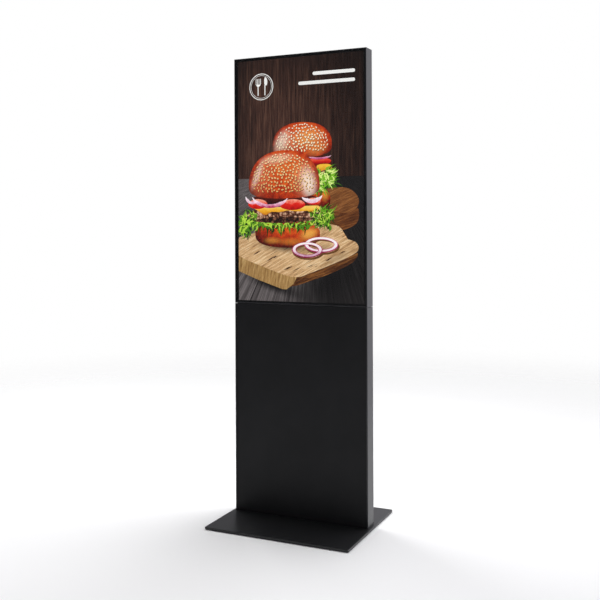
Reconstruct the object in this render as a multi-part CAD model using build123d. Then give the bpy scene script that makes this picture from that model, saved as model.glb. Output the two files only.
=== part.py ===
"""A free-standing portrait touchscreen kiosk.

A flat steel base plate carries two steel uprights.  The uprights hold an aluminium-framed
column with a plain steel front, and above it a slim display housing with a 43 inch portrait
touch display.  Both have a hinged, lockable rear door.

Frame: millimetres, +Z up, front faces -Y, +X is on the right of someone facing the screen.
The origin is on the floor, at the centre of the base plate.
"""
from build123d import *
from math import cos, pi, radians, sin, tan
import os

# ---------------------------------------------------------------- overall sizes
kiosk_height = 1792.0           # floor to the top of the housing
kiosk_width = 556.0             # column and housing
kiosk_depth = 62.0              # column and housing, front lip to rear door face
joint_height = 829.0            # underside of the display housing
reveal = 2.0                    # shadow gap between column and housing
column_setback = 17.0           # column's middle plane behind the base plate's middle

base_margin = 10.0              # base plate beyond the column's sides
base_depth = 476.0
base_thickness = 8.0
base_corner_radius = 4.0
base_edge_chamfer = 0.8
pad_height = 2.0                # rubber pads below the plate
pad_radius = 15.0
pad_inset = 32.0

# ---------------------------------------------------------------- aluminium profile
web = 2.5                       # outer wall and lip thickness
lip_width = 5.0                 # front lip, seen beside the glass
rib = 2.0                       # inner rib thickness
channel = 7.0                   # glazing channel behind the lip
rib_reach = 6.5                 # inner edge of the channel's rear rib, from the outer face
stop_depth = 45.5               # door stop rib, behind the front plane
stop_reach = 12.0
corner_radius = 1.5             # outer front edge of the profile
mitre_reach = stop_reach + 6.0

# ---------------------------------------------------------------- display
picture_width = 529.4           # 43 inch 16:9 active area, upright
picture_height = 941.2
glass_thickness = 4.0
glass_clearance = 0.5           # glass edge to the profile's web
gasket_front = 0.5              # gasket leg between lip and glass
frame_sheet = 0.8               # LCD front frame
frame_clearance = 0.5           # LCD front frame to the profile's rib
lcd_gap = 2.0                   # glass to LCD front frame
cell_thickness = 2.0
backlight_thickness = 9.2
spacer_width = 2.2
fit_gap = 0.2                   # pieces that nest in each other

# ---------------------------------------------------------------- steel spine
upright_centre = 200.0          # from the middle plane
upright_width = 40.0
upright_depth = 20.0
upright_wall = 2.0
upright_front = 30.0            # depth of the uprights' front face
upright_top_gap = 75.0          # below the housing's top
foot_thickness = 10.0
foot_tab = 3.0
foot_tab_height = 45.0
foot_screw_depths = (24.0, 38.0)
crossbar_height = 50.0
crossbar_thickness = 4.0
crossbar_pitch = 300.0
rail_pitch = 200.0              # hook rails, on the display's 200 x 400 bolt pattern
rail_bolt_pitch = 400.0
rail_width = 30.0
rail_thickness = 3.0
rail_margin = 20.0
boss_height = 2.0

# ---------------------------------------------------------------- doors, hinges and locks
sheet = 1.5
door_gap = 2.0
door_return = 12.0
slot_length = 60.0
slot_height = 4.0
slot_pitch_x = 74.0
slot_pitch_z = 11.0
hinge_leaf = 1.2
hinge_barrel = 3.2
hinge_pin = 1.6
hinge_clearance = 0.05
hinge_stand_off = 0.4           # knuckle to the door's face
hinge_length = 24.0
hinge_leaf_width = 24.0
hinge_inset = 110.0             # hinge centre from the door's end
lock_inset = 40.0               # lock axis from the outer face
lock_barrel = 9.0
lock_plug = 6.0
lock_flange = 11.0
lock_cam_reach = 32.0
lock_cam_width = 16.0
lock_cam_thickness = 2.0
inlet_panel_height = 56.0

# ---------------------------------------------------------------- electrics
strip_length = 260.0
strip_height = 45.0
strip_depth = 28.0
player_size = 190.0
player_depth = 26.0
fan_size = 60.0
fan_depth = 15.0
fan_bore = 28.5
fan_spacing = 120.0
blade_count = 7
power_diameter = 7.0
hdmi_diameter = 6.0
touch_diameter = 4.5
power_lane = 164.0
hdmi_lane = 152.0
touch_lane = 141.0
lane_depth = 40.0

# ---------------------------------------------------------------- derived places
base_width = kiosk_width + 2 * base_margin
base_top = pad_height + base_thickness
front_y = column_setback - kiosk_depth / 2
side_x = kiosk_width / 2
inner_x = side_x - web
column_top = joint_height - reveal
housing_height = kiosk_height - joint_height
display_z = joint_height + housing_height / 2
glass_front = web + gasket_front
glass_back = glass_front + glass_thickness
rib_depth = web + channel
lcd_front = glass_back + lcd_gap
lcd_width = kiosk_width - 2 * (rib_reach + frame_clearance)
lcd_height = housing_height - 2 * (rib_reach + frame_clearance)
cell_front = lcd_front + frame_sheet
cell_back = cell_front + cell_thickness
lcd_back = cell_back + backlight_thickness
rail_back = lcd_back + boss_height + rail_thickness
crossbar_back = rail_back + crossbar_thickness
upright_back = upright_front + upright_depth
upright_top = kiosk_height - upright_top_gap
spine_depth = upright_front + upright_depth / 2
foot_front = rib_depth + rib + 4
door_skin = kiosk_depth - sheet
door_front = kiosk_depth - door_return
door_x = inner_x - door_gap
service_door_z = (base_top + inlet_panel_height + door_gap, column_top - 2 * door_gap)
display_door_z = (joint_height + web + door_gap, kiosk_height - web - door_gap)
hinge_x = -inner_x + hinge_barrel
hinge_depth = kiosk_depth + hinge_barrel + hinge_stand_off
lock_x = side_x - lock_inset
cam_back = stop_depth - 0.4
cam_front = cam_back - lock_cam_thickness
equipment_z = (base_top + 80.0, column_top - 70.0)
strip_z = base_top + 112.0
player_z = base_top + 385.0
fan_z = upright_top - 40.0


# ---------------------------------------------------------------- small helpers
def slab(x, v, z):
    """A box between two x, two depths behind the front plane, and two heights."""
    middle = Pos((x[0] + x[1]) / 2, front_y + (v[0] + v[1]) / 2, (z[0] + z[1]) / 2)
    return middle * Box(x[1] - x[0], v[1] - v[0], z[1] - z[0])


def centred(x, width, v, z, height):
    """A box of a width and height about x and z, between two depths."""
    return slab((x - width / 2, x + width / 2), v, (z - height / 2, z + height / 2))


def rod(x, v, z, radius):
    """A cylinder along the depth, between two depths."""
    middle = Pos(x, front_y + (v[0] + v[1]) / 2, z)
    return middle * Rot(90, 0, 0) * Cylinder(radius, v[1] - v[0])


def post(x, v, z, radius):
    """A cylinder along the height, between two heights."""
    return Pos(x, front_y + v, (z[0] + z[1]) / 2) * Cylinder(radius, z[1] - z[0])


def both_sides(part):
    """The part and its mirror image across the kiosk's middle plane."""
    return [part, mirror(part, about=Plane.YZ)]


def screw(x, v, z, radius, head_radius, head_height):
    """A pan-head screw whose head stands behind v[1] and whose shank runs forward to v[0]."""
    shank = rod(x, v, z, radius)
    head = rod(x, (v[1], v[1] + head_height), z, head_radius)
    socket = rod(x, (v[1] + head_height / 2, v[1] + head_height), z, head_radius / 2)
    return shank + head - socket


def save(name, *solids):
    """Writes one node's solids as parts/NAME.step."""
    shape = solids[0] if len(solids) == 1 else Compound(list(solids))
    export_step(shape, os.path.join("parts", name + ".step"))


# ---------------------------------------------------------------- base
def base_bolt_places():
    """The foot bar's bolts, in one row under the column, clear of the uprights."""
    reach = upright_centre + upright_width / 2 + 20
    inner = upright_centre - upright_width / 2 - 40
    return [-reach, -inner, -inner / 3, inner / 3, inner, reach]


def base_bolt(x, gap=0.0):
    """A countersunk bolt from below; the gap widens it into its clearance hole."""
    y = front_y + spine_depth
    head = Pos(x, y, pad_height + 2) * Cone(8 + gap, 4 + gap, 4)
    length = foot_thickness + base_thickness - 3
    shank = Pos(x, y, pad_height + 1 + length / 2) * Cylinder(4 + gap, length)
    return head + shank


def make_base_plate():
    middle = Pos(0, 0, pad_height + base_thickness / 2)
    plate = middle * Box(base_width, base_depth, base_thickness)
    plate = fillet(plate.edges().filter_by(Axis.Z), base_corner_radius)
    rims = plate.faces().sort_by(Axis.Z)
    plate = chamfer(rims[0].edges() + rims[-1].edges(), base_edge_chamfer)
    for x in base_bolt_places():
        plate -= base_bolt(x, 0.3)
    return plate


def make_floor_pads():
    x = base_width / 2 - pad_inset
    y = base_depth / 2 - pad_inset
    places = [(i * x, j * y) for i in (-1, 0, 1) for j in (-1, 1)]
    return [Pos(a, b, pad_height / 2) * Cylinder(pad_radius, pad_height) for a, b in places]


def foot_screws():
    """Screws from the foot bar's upturned tabs into the column profiles."""
    found = []
    for v in foot_screw_depths:
        y = front_y + v
        z = base_top + foot_thickness + foot_tab_height / 2
        length = foot_tab + web - 0.4
        shank = Pos(inner_x + web - 0.4 - length / 2, y, z) * Rot(0, 90, 0) * Cylinder(2, length)
        head = Pos(inner_x - foot_tab - 1.2, y, z) * Rot(0, 90, 0) * Cylinder(3.8, 2.4)
        found += both_sides(shank + head)
    return found


def make_foot_bar():
    """A bar under the uprights, whose ends stand between the profiles' ribs and turn up."""
    reach = side_x - stop_reach - fit_gap
    level = (base_top, base_top + foot_thickness)
    bar = slab((-reach, reach), (foot_front, upright_back), level)
    ends = (foot_front, stop_depth - fit_gap)
    bar += slab((-inner_x, inner_x), ends, level)
    for side in both_sides(slab((inner_x - foot_tab, inner_x), ends, (base_top, level[1] + foot_tab_height))):
        bar += side
    for x in base_bolt_places():
        bar -= base_bolt(x)
    return bar - foot_screws()


# ---------------------------------------------------------------- steel spine
def crossbar_places():
    return [display_z - crossbar_pitch / 2, display_z + crossbar_pitch / 2]


def frame_bolts():
    """Bolts of the crossbars, equipment plate and fan bracket into the uprights, from the front or rear."""
    found = []
    for x in (-upright_centre, upright_centre):
        for z in crossbar_places():
            for dz in (-crossbar_height / 4, crossbar_height / 4):
                back = upright_front + upright_wall + 2
                shank = rod(x, (rail_back, back), z + dz, 3)
                head = rod(x, (rail_back - 3, rail_back), z + dz, 5.2)
                found.append(shank + head - rod(x, (rail_back - 3, rail_back - 1), z + dz, 2.6))
        for z in (equipment_z[0] + 20, sum(equipment_z) / 2, equipment_z[1] - 20):
            front = upright_front - sheet
            shank = rod(x, (front, upright_front + upright_wall + 2), z, 3)
            head = rod(x, (front - 3, front), z, 5.2)
            found.append(shank + head - rod(x, (front - 3, front - 1), z, 2.6))
        front = upright_back - upright_wall - 2
        found.append(screw(x, (front, upright_back + sheet), fan_z, 3, 5.2, 3))
    return found


def rail_screws():
    """Screws that hold the hook rails on the display's bosses."""
    front = lcd_back - 1.5
    return [
        screw(x, (front, rail_back), display_z + dz, 3, 5.2, 3)
        for x in (-rail_pitch / 2, rail_pitch / 2)
        for dz in (-rail_bolt_pitch / 2, rail_bolt_pitch / 2)
    ]


def make_upright(x):
    z = (base_top + foot_thickness, upright_top)
    tube = centred(x, upright_width, (upright_front, upright_back), sum(z) / 2, z[1] - z[0])
    tube = fillet(tube.edges().filter_by(Axis.Z), 2)
    hollow = centred(
        x,
        upright_width - 2 * upright_wall,
        (upright_front + upright_wall, upright_back - upright_wall),
        sum(z) / 2,
        z[1] - z[0],
    )
    return tube - hollow - frame_bolts()


def make_crossbars():
    width = 2 * upright_centre + upright_width + 20
    v = (rail_back, upright_front)
    return [centred(0, width, v, z, crossbar_height) - frame_bolts() for z in crossbar_places()]


def make_hook_rail(x):
    """A flat bar on the display's bosses, with a hook over each crossbar."""
    height = rail_bolt_pitch + 2 * rail_margin
    rail = centred(x, rail_width, (rail_back - rail_thickness, rail_back), display_z, height)
    for z in crossbar_places():
        top = z + crossbar_height / 2
        hook = (upright_front + 0.3, upright_front + 2.8)
        rail += centred(x, rail_width, (rail_back - rail_thickness, hook[1]), top + 1.7, 3)
        rail += slab((x - rail_width / 2, x + rail_width / 2), hook, (top - 14, top + 3.2))
    return rail - rail_screws()


# ---------------------------------------------------------------- profiles and panels
def profile_face():
    """The profile's section: x is inward from the outer face, y is back from the front plane."""
    points = [
        (0, 0),
        (lip_width, 0),
        (lip_width, web),
        (web, web),
        (web, rib_depth),
        (rib_reach, rib_depth),
        (rib_reach, rib_depth + rib),
        (web, rib_depth + rib),
        (web, stop_depth),
        (stop_reach, stop_depth),
        (stop_reach, stop_depth + rib),
        (web, stop_depth + rib),
        (web, kiosk_depth),
        (0, kiosk_depth),
    ]
    face = make_face(Polyline(*points, close=True))
    outer = [p for p in face.vertices() if p.X < web / 2]
    return fillet(outer, corner_radius)


def upright_profile(z):
    """The left-hand profile between two heights."""
    section = Pos(-side_x, front_y, z[0]) * profile_face()
    return extrude(section, z[1] - z[0])


def level_profile(z):
    """The housing's lower profile, lying along X with its outer face at height z."""
    plane = Plane(origin=(side_x, front_y, z), x_dir=(0, 0, 1), z_dir=(-1, 0, 0))
    return extrude(plane * profile_face(), kiosk_width)


def mitre(corners):
    """A prism through the whole depth, from four (x, z) corners, that trims a profile's ends."""
    middle = Plane(origin=(0, front_y + kiosk_depth / 2, 0), x_dir=(1, 0, 0), z_dir=(0, -1, 0))
    face = make_face(middle * Polyline(*corners, close=True))
    return extrude(face, kiosk_depth, both=True)


def make_column_profile():
    return upright_profile((base_top, column_top)) - foot_screws()


def make_housing_side():
    z = (joint_height, kiosk_height)
    m = mitre_reach
    ends = [(-side_x, z[0]), (-side_x + m, z[0] + m), (-side_x + m, z[1] - m), (-side_x, z[1])]
    return (upright_profile(z) & mitre(ends)) - corner_screws()


def make_housing_lower():
    m = mitre_reach
    z = joint_height
    ends = [(-side_x, z), (side_x, z), (side_x - m, z + m), (-side_x + m, z + m)]
    return (level_profile(z) & mitre(ends)) - corner_screws()


def spine_holes(z):
    """Cutters for the uprights and the leads, between two heights."""
    size = (upright_width + 1, (upright_front - 0.5, upright_back + 0.5))
    holes = [centred(x, size[0], size[1], sum(z) / 2, z[1] - z[0]) for x in (-upright_centre, upright_centre)]
    return holes + [grommet_body(0, z)]


def stop_notches():
    """Cutters that take the stop rib away where the uprights and the leads pass."""
    x = (touch_lane - 24, upright_centre + upright_width / 2 + 3)
    v = (stop_depth - 0.1, stop_depth + rib + 0.1)
    return both_sides(slab(x, v, (joint_height + web, joint_height + stop_reach + 1)))


def grommet_body(wall, z):
    """The lead opening's block, taken in by a wall on each side."""
    x = (touch_lane - 19 + wall, upright_centre - upright_width / 2 - 4 - wall)
    v = (upright_front + 2 + wall, upright_back - wall)
    return slab(x, v, z)


def make_cable_grommet():
    """A rubber sleeve through the column's top plate and the housing's lower profile."""
    z = (column_top - sheet - 1.5, joint_height + web + 1.5)
    body = grommet_body(fit_gap, z)
    lower = grommet_body(-2, (z[0], z[0] + 1.3))
    upper = grommet_body(-2, (z[1] - 1.3, z[1]))
    return body + lower + upper - grommet_body(2, (z[0] - 1, z[1] + 1))


def make_column_front():
    """A folded steel panel whose edges stand in the profiles' glazing channels."""
    x = inner_x - 0.4
    z = (base_top + 0.5, column_top)
    skin = slab((-x, x), (web + 0.1, web + 0.1 + sheet), z)
    for side in both_sides(slab((x - sheet, x), (web + 0.1, rib_depth - 0.2), z)):
        skin += side
    for level in ((z[0], z[0] + sheet), (z[1] - sheet, z[1])):
        skin += slab((-x, x), (web + 0.1, rib_depth - 0.2), level)
    return skin


def make_column_top():
    """The column's top plate, with a lip turned down in front of the uprights."""
    z = (column_top - sheet, column_top)
    plate = slab((-inner_x, inner_x), (rib_depth, kiosk_depth), z)
    for reach, depth in ((rib_reach, rib_depth), (stop_reach, stop_depth)):
        inner = side_x - reach - fit_gap
        plate -= both_sides(slab((inner, side_x), (depth - fit_gap, depth + rib + fit_gap), z))
    lip = slab((-inner_x + 15, inner_x - 15), (rib_depth, rib_depth + sheet), (z[0] - 18, z[0]))
    return plate + lip - spine_holes((z[0] - 1, z[1] + 1))


def corner_screws():
    """Two screws through each corner bracket into the profiles."""
    found = []
    v = (rib_depth + rib + stop_depth) / 2
    y = front_y + v
    for side in (-1, 1):
        for z, down in ((joint_height, 1), (kiosk_height, -1)):
            length = 3 + web - 0.4
            x = side * (side_x - 0.4 - length / 2)
            shank = Pos(x, y, z + down * 32) * Rot(0, 90, 0) * Cylinder(2, length)
            head = Pos(side * (inner_x - 4), y, z + down * 32) * Rot(0, 90, 0) * Cylinder(3.8, 2)
            found.append(shank + head)
            shank = Pos(side * (side_x - 32), y, z + down * (0.4 + length / 2)) * Cylinder(2, length)
            head = Pos(side * (side_x - 32), y, z + down * (web + 4)) * Cylinder(3.8, 2)
            found.append(shank + head)
    return found


def make_corner_brackets():
    found = []
    v = (rib_depth + rib + 2, stop_depth - 2)
    for side in (-1, 1):
        for z, down in ((joint_height, 1), (kiosk_height, -1)):
            x = sorted((side * inner_x, side * (inner_x - 3)))
            arm = slab(x, v, sorted((z + down * web, z + down * (web + 40))))
            x = sorted((side * inner_x, side * (inner_x - 40)))
            arm += slab(x, v, sorted((z + down * web, z + down * (web + 3))))
            found.append(arm - corner_screws())
    return found


# ---------------------------------------------------------------- glass and display
def ring(outer, inner, v):
    """A flat rectangular ring about the display, from outer and inner (width, height)."""
    frame = centred(0, outer[0], v, display_z, outer[1])
    return frame - centred(0, inner[0], (v[0] - 1, v[1] + 1), display_z, inner[1])


def housing_ring(outer_inset, inner_inset, v):
    """A rectangular ring inside the housing, set in from its outer faces."""
    middle = joint_height + housing_height / 2
    outer = (kiosk_width - 2 * outer_inset, housing_height - 2 * outer_inset)
    inner = (kiosk_width - 2 * inner_inset, housing_height - 2 * inner_inset)
    frame = centred(0, outer[0], v, middle, outer[1])
    return frame - centred(0, inner[0], (v[0] - 1, v[1] + 1), middle, inner[1])


def make_glass():
    inset = web + glass_clearance
    width = kiosk_width - 2 * inset
    height = housing_height - 2 * inset
    middle = joint_height + housing_height / 2
    glass = centred(0, width, (glass_front, glass_back), middle, height)
    return chamfer(glass.faces().sort_by(Axis.Y)[0].edges(), 0.4)


def make_glass_gasket():
    """A U-shaped rubber gasket round the glass edge, in the profiles' channel."""
    edge = web + glass_clearance
    front = housing_ring(web, lip_width, (web, glass_front))
    side = housing_ring(web, edge, (web, rib_depth))
    back = housing_ring(web, rib_reach, (glass_back, rib_depth))
    return front + side + back


def make_foam_spacer():
    outer = (lcd_width, lcd_height)
    inner = (lcd_width - 2 * spacer_width, lcd_height - 2 * spacer_width)
    return ring(outer, inner, (glass_back, lcd_front))


def make_lcd_front_frame():
    """A thin steel frame round the LCD, with a skirt down its sides."""
    outer = (lcd_width, lcd_height)
    window = (picture_width + 1, picture_height + 1)
    inner = (lcd_width - 2 * frame_sheet, lcd_height - 2 * frame_sheet)
    return ring(outer, window, (lcd_front, cell_front)) + ring(outer, inner, (lcd_front, lcd_back - 2))


def module_size():
    inset = 2 * (frame_sheet + fit_gap)
    return (lcd_width - inset, lcd_height - inset)


def make_lcd_cell():
    width, height = module_size()
    return centred(0, width, (cell_front, cell_back), display_z, height)


def make_backlight():
    """The backlight tray, with bosses for the hook rails and pads for the boards."""
    width, height = module_size()
    tray = centred(0, width, (cell_back, lcd_back), display_z, height)
    for x in (-rail_pitch / 2, rail_pitch / 2):
        for dz in (-rail_bolt_pitch / 2, rail_bolt_pitch / 2):
            tray += rod(x, (lcd_back, lcd_back + boss_height), display_z + dz, 8)
    return tray - rail_screws()


# ---------------------------------------------------------------- boards
board_standoff = 5.0
board_thickness = 1.6
mainboard = (0.0, 130.0, display_z - 8.0, 170.0)        # x, width, z, height
power_board = (-85.0, 150.0, joint_height + 104.0, 90.0)
touch_board = (70.0, 60.0, joint_height + 81.0, 40.0)
speaker_x = 62.0
speaker_width = 110.0


def board_corners(board):
    x, width, z, height = board
    inset = 6
    return [(x + i * (width / 2 - inset), z + j * (height / 2 - inset)) for i in (-1, 1) for j in (-1, 1)]


def board_plate(board):
    x, width, z, height = board
    v = (lcd_back + board_standoff, lcd_back + board_standoff + board_thickness)
    plate = centred(x, width, v, z, height)
    for a, b in board_corners(board):
        plate -= rod(a, (v[0] - 1, v[1] + 1), b, 1.5)
    return plate


def on_board(board, dx, dz, width, height, tall):
    """A component standing on a board, placed from the board's centre."""
    face = lcd_back + board_standoff + board_thickness
    return centred(board[0] + dx, width, (face, face + tall), board[2] + dz, height)


def make_mainboard():
    parts = [board_plate(mainboard)]
    parts.append(on_board(mainboard, -10, 20, 34, 34, 3))
    for i in range(7):
        parts.append(on_board(mainboard, -25 + 5 * i, 20, 1.5, 34, 11).moved(Pos(0, 3, 0)))
    parts.append(on_board(mainboard, -40, -30, 12, 18, 1.2))
    parts.append(on_board(mainboard, -22, -30, 12, 18, 1.2))
    parts.append(on_board(mainboard, 52, -55, 20, 16, 9))
    parts.append(on_board(mainboard, 52, -30, 20, 16, 9))
    parts.append(on_board(mainboard, -10, 66, 50, 6, 5))
    return parts


def make_power_board():
    face = lcd_back + board_standoff + board_thickness
    x, width, z, height = power_board
    parts = [board_plate(power_board)]
    parts.append(on_board(power_board, -30, 5, 36, 30, 13))
    parts.append(on_board(power_board, 58, 0, 16, 20, 11))
    parts.append(on_board(power_board, 20, 30, 60, 4, 14))
    for i in range(3):
        parts.append(rod(x + 5 + 18 * i, (face, face + 13), z - 30, 7))
    return parts


def make_touch_board():
    parts = [board_plate(touch_board)]
    parts.append(on_board(touch_board, -6, 0, 14, 14, 1.4))
    parts.append(on_board(touch_board, 22, 0, 12, 12, 6))
    return parts


def make_board_standoffs():
    """A hexagonal post and a screw at each board corner."""
    found = []
    face = lcd_back + board_standoff + board_thickness
    for board in (mainboard, power_board, touch_board):
        for x, z in board_corners(board):
            post_solid = rod(x, (lcd_back, lcd_back + board_standoff), z, 2.8)
            shank = rod(x, (lcd_back + board_standoff, face), z, 1.45)
            head = rod(x, (face, face + 1.6), z, 2.8)
            found.append(post_solid + shank + head)
    return found


def make_speaker(x):
    """An oblong speaker box with a recessed oval cone, facing the rear door's slots."""
    z = joint_height + 36
    v = (lcd_back + 6, lcd_back + 22)
    body = centred(x, speaker_width, v, z, 34)
    body = fillet(body.edges().filter_by(Axis.Y), 4)
    cone = Pos(x, front_y + v[1], z) * Rot(90, 0, 0) * extrude(SlotOverall(speaker_width - 26, 24), 4, both=True)
    dome = Pos(x, front_y + v[1] - 4, z) * Rot(90, 0, 0) * Cylinder(8, 4)
    foot = centred(x, speaker_width - 40, (lcd_back, v[0]), z, 20)
    return body - cone + dome + foot


# ---------------------------------------------------------------- fans
def fan_screw_places(x):
    reach = fan_size / 2 - 5
    return [(x + i * reach, fan_z + j * reach) for i in (-1, 1) for j in (-1, 1)]


def make_fan_bracket():
    """A steel strip across the uprights' rear faces, with an opening behind each fan."""
    width = 2 * upright_centre + upright_width - 8
    plate = centred(0, width, (upright_back, upright_back + sheet), fan_z, fan_size + 16)
    for x in (-fan_spacing / 2, fan_spacing / 2):
        plate -= rod(x, (upright_back - 1, upright_back + sheet + 1), fan_z, fan_bore)
        for a, b in fan_screw_places(x):
            plate -= rod(a, (upright_back - 1, upright_back + sheet + 1), b, 2)
    return plate - frame_bolts()


def make_fan_frame(x):
    """A square fan frame whose motor cup stands on three arms, with the axle in its middle."""
    v = (upright_back - fan_depth, upright_back)
    frame = centred(x, fan_size, v, fan_z, fan_size)
    frame = fillet(frame.edges().filter_by(Axis.Y), 4)
    frame -= rod(x, (v[0] - 1, v[1] + 1), fan_z, fan_bore)
    for a, b in fan_screw_places(x):
        frame -= rod(a, (v[0] - 1, v[1] + 1), b, 2)
    frame += rod(x, (v[0], v[0] + 2), fan_z, 14)
    for turn in (90, 210, 330):
        arm = Pos(fan_bore / 2 + 1, 0, 0) * Box(fan_bore, 2, 4)
        place = Pos(x, front_y + v[0] + 1, fan_z)
        frame += place * Rot(0, turn, 0) * arm
    return frame + rod(x, (v[0] + 2, v[0] + 12), fan_z, 1.5)


def make_fan_rotor(x):
    """Pitched blades on a hub that runs on the axle."""
    v = (upright_back - fan_depth + 3, upright_back - 1)
    hub = rod(x, v, fan_z, 13)
    depth = (v[0] + v[1]) / 2
    place = Pos(x, front_y + depth, fan_z)
    for i in range(blade_count):
        blade = Pos(12.5 + 7.2, 0, 0) * Rot(38, 0, 0) * Box(15, 1.4, 13)
        hub += place * Rot(0, i * 360 / blade_count, 0) * blade
    bore = rod(x, (v[0] - 1, upright_back - fan_depth + 12.5), fan_z, 1.5 + hinge_clearance)
    return hub & rod(x, v, fan_z, fan_bore - 0.8) - bore


# ---------------------------------------------------------------- equipment in the column
def make_equipment_plate():
    width = 2 * upright_centre + upright_width - 10
    z = equipment_z
    plate = centred(0, width, (upright_front - sheet, upright_front), sum(z) / 2, z[1] - z[0])
    plate = fillet(plate.edges().filter_by(Axis.Y), 8)
    return plate - frame_bolts()


def make_media_player():
    """A low square computer: case with cooling fins on its rear face and a row of ports on top."""
    v = (upright_front, upright_front + player_depth)
    case = centred(0, player_size, v, player_z, player_size)
    case = fillet(case.edges().filter_by(Axis.Y), 8)
    for i in range(16):
        x = -player_size / 2 + 25 + i * (player_size - 50) / 15
        case -= centred(x, 3, (v[1] - 3, v[1] + 1), player_z - 12, player_size - 60)
    top = player_z + player_size / 2
    for x, width in ((hdmi_port, 15), (touch_port, 13), (-20, 13), (-50, 16)):
        case -= centred(x, width, (v[0] + 9, v[0] + 15), top, 4)
    case -= rod(button_x, (v[1] - 4, v[1] + 1), button_z, 5 + fit_gap)
    return case


hdmi_port = 50.0
touch_port = 20.0
button_x = -player_size / 2 + 22.0
button_z = player_z + player_size / 2 - 20.0
button_travel = 1.0


def make_power_button():
    """The media player's push button, on its rear face."""
    back = upright_front + player_depth
    button = rod(button_x, (back - 4 + button_travel + 0.2, back + 1.5), button_z, 5)
    return fillet(button.edges().sort_by(Axis.Y)[-1], 0.6)


def make_socket_strip():
    """A distribution block with three round recessed outlets and its own pin sockets."""
    v = (upright_front, upright_front + strip_depth)
    body = centred(0, strip_length, v, strip_z, strip_height)
    body = fillet(body.edges().filter_by(Axis.Y), 5)
    for x in (-75, 0, 75):
        body -= rod(x, (v[1] - 10, v[1] + 1), strip_z, 18)
        for dx in (-9.5, 9.5):
            body -= rod(x + dx, (v[1] - 22, v[1] - 9), strip_z, 2.6)
    return body


def vent_slots(x, z, rows, columns):
    """Cutters for a field of round-ended slots through a door's skin."""
    found = []
    for i in range(columns):
        for j in range(rows):
            dx = (i - (columns - 1) / 2) * slot_pitch_x
            dz = (j - (rows - 1) / 2) * slot_pitch_z
            place = Pos(x + dx, front_y + kiosk_depth - sheet / 2, z + dz) * Rot(90, 0, 0)
            found.append(place * extrude(SlotOverall(slot_length, slot_height), sheet, both=True))
    return found


# ---------------------------------------------------------------- inlet panel
inlet_x = -90.0
inlet_z = base_top + inlet_panel_height / 2
inlet_width = 27.2              # IEC 60320 C14 opening
inlet_height = 19.6
module_width = 62.0
rocker_x = inlet_x + 26.0
rocker_tilt = 9.0
rocker_axle = kiosk_depth - 1.0
rocker_axle_radius = 1.2


def make_inlet_panel():
    """The fixed strip below the service door, folded at its ends, with the inlet's cut-out."""
    z = (base_top, base_top + inlet_panel_height)
    panel = slab((-door_x, door_x), (door_skin, kiosk_depth), z)
    for level in ((z[0], z[0] + sheet), (z[1] - sheet, z[1])):
        panel += slab((-door_x, door_x), (door_front, kiosk_depth), level)
    for side in both_sides(slab((door_x - sheet, inner_x), (door_front, door_front + sheet), z)):
        panel += side
    return panel - centred(inlet_x + 11, module_width - 6, (door_skin - 1, kiosk_depth + 1), inlet_z, 26)


def make_mains_inlet():
    """An inlet module: an IEC socket with three blades beside a bay for the rocker switch."""
    out = kiosk_depth + 2
    middle = inlet_x + 11
    flange = centred(middle, module_width, (kiosk_depth, out), inlet_z, 32)
    flange = fillet(flange.edges().filter_by(Axis.Y), 3)
    body = centred(middle, module_width - 6.4, (kiosk_depth - 22, kiosk_depth), inlet_z, 25.6)
    module = flange + body
    module -= centred(inlet_x, inlet_width, (kiosk_depth - 14, out + 1), inlet_z, inlet_height)
    for dx, dz in ((-7, -2), (0, 2), (7, -2)):
        module += centred(inlet_x + dx, 2, (kiosk_depth - 16, kiosk_depth - 1), inlet_z + dz, 4)
    bay = (kiosk_depth - 12, out + 1)
    module -= centred(rocker_x, 13, bay, inlet_z, 20)
    for x in (rocker_x - 6.7, rocker_x + 6.7):
        module += Pos(x, front_y + rocker_axle, inlet_z) * Rot(0, 90, 0) * Cylinder(rocker_axle_radius, 4)
    return module


def make_rocker():
    """The switch rocker: a shallow V seen from the side, on an axle across it, one half pressed in."""
    middle = (rocker_x, front_y + rocker_axle, inlet_z)
    outline = [(-8.6, 0.6), (-8.6, 3.2), (0, 2.0), (8.6, 3.2), (8.6, 0.6), (3.5, -4.5), (-3.5, -4.5)]
    plane = Plane(origin=middle, x_dir=(0, 0, 1), z_dir=(-1, 0, 0))
    solid = extrude(make_face(plane * Polyline(*outline, close=True)), 6.2, both=True)
    bore = Pos(*middle) * Rot(0, 90, 0) * Cylinder(rocker_axle_radius + hinge_clearance, 20)
    tilt = Axis(middle, (1, 0, 0))
    return (solid - bore).rotate(tilt, rocker_tilt)


# ---------------------------------------------------------------- doors
def make_door(z, vents):
    """A folded door pan between two heights, with its lock hole and vent slots."""
    pan = slab((-door_x, door_x), (door_front, kiosk_depth), z)
    pan = fillet(pan.edges().filter_by(Axis.Y), 1.5)
    hollow = slab((-door_x + sheet, door_x - sheet), (door_front - 1, door_skin), (z[0] + sheet, z[1] - sheet))
    pan -= hollow
    pan -= rod(lock_x, (door_skin - 1, kiosk_depth + 1), sum(z) / 2, lock_barrel + fit_gap)
    for field in vents:
        pan -= vent_slots(*field)
    return pan


def hinge_places(z):
    return (z[0] + hinge_inset, z[1] - hinge_inset)


def fixed_leaf(z):
    """The profile's half of a hinge: a leaf inside the web and the lower knuckle."""
    low = (z - hinge_length, z - 0.15)
    knuckle = post(hinge_x, hinge_depth, low, hinge_barrel)
    leaf = slab((-inner_x, -inner_x + hinge_leaf), (stop_depth + rib + 1, hinge_depth), low)
    return knuckle + leaf - post(hinge_x, hinge_depth, low, hinge_pin)


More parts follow.
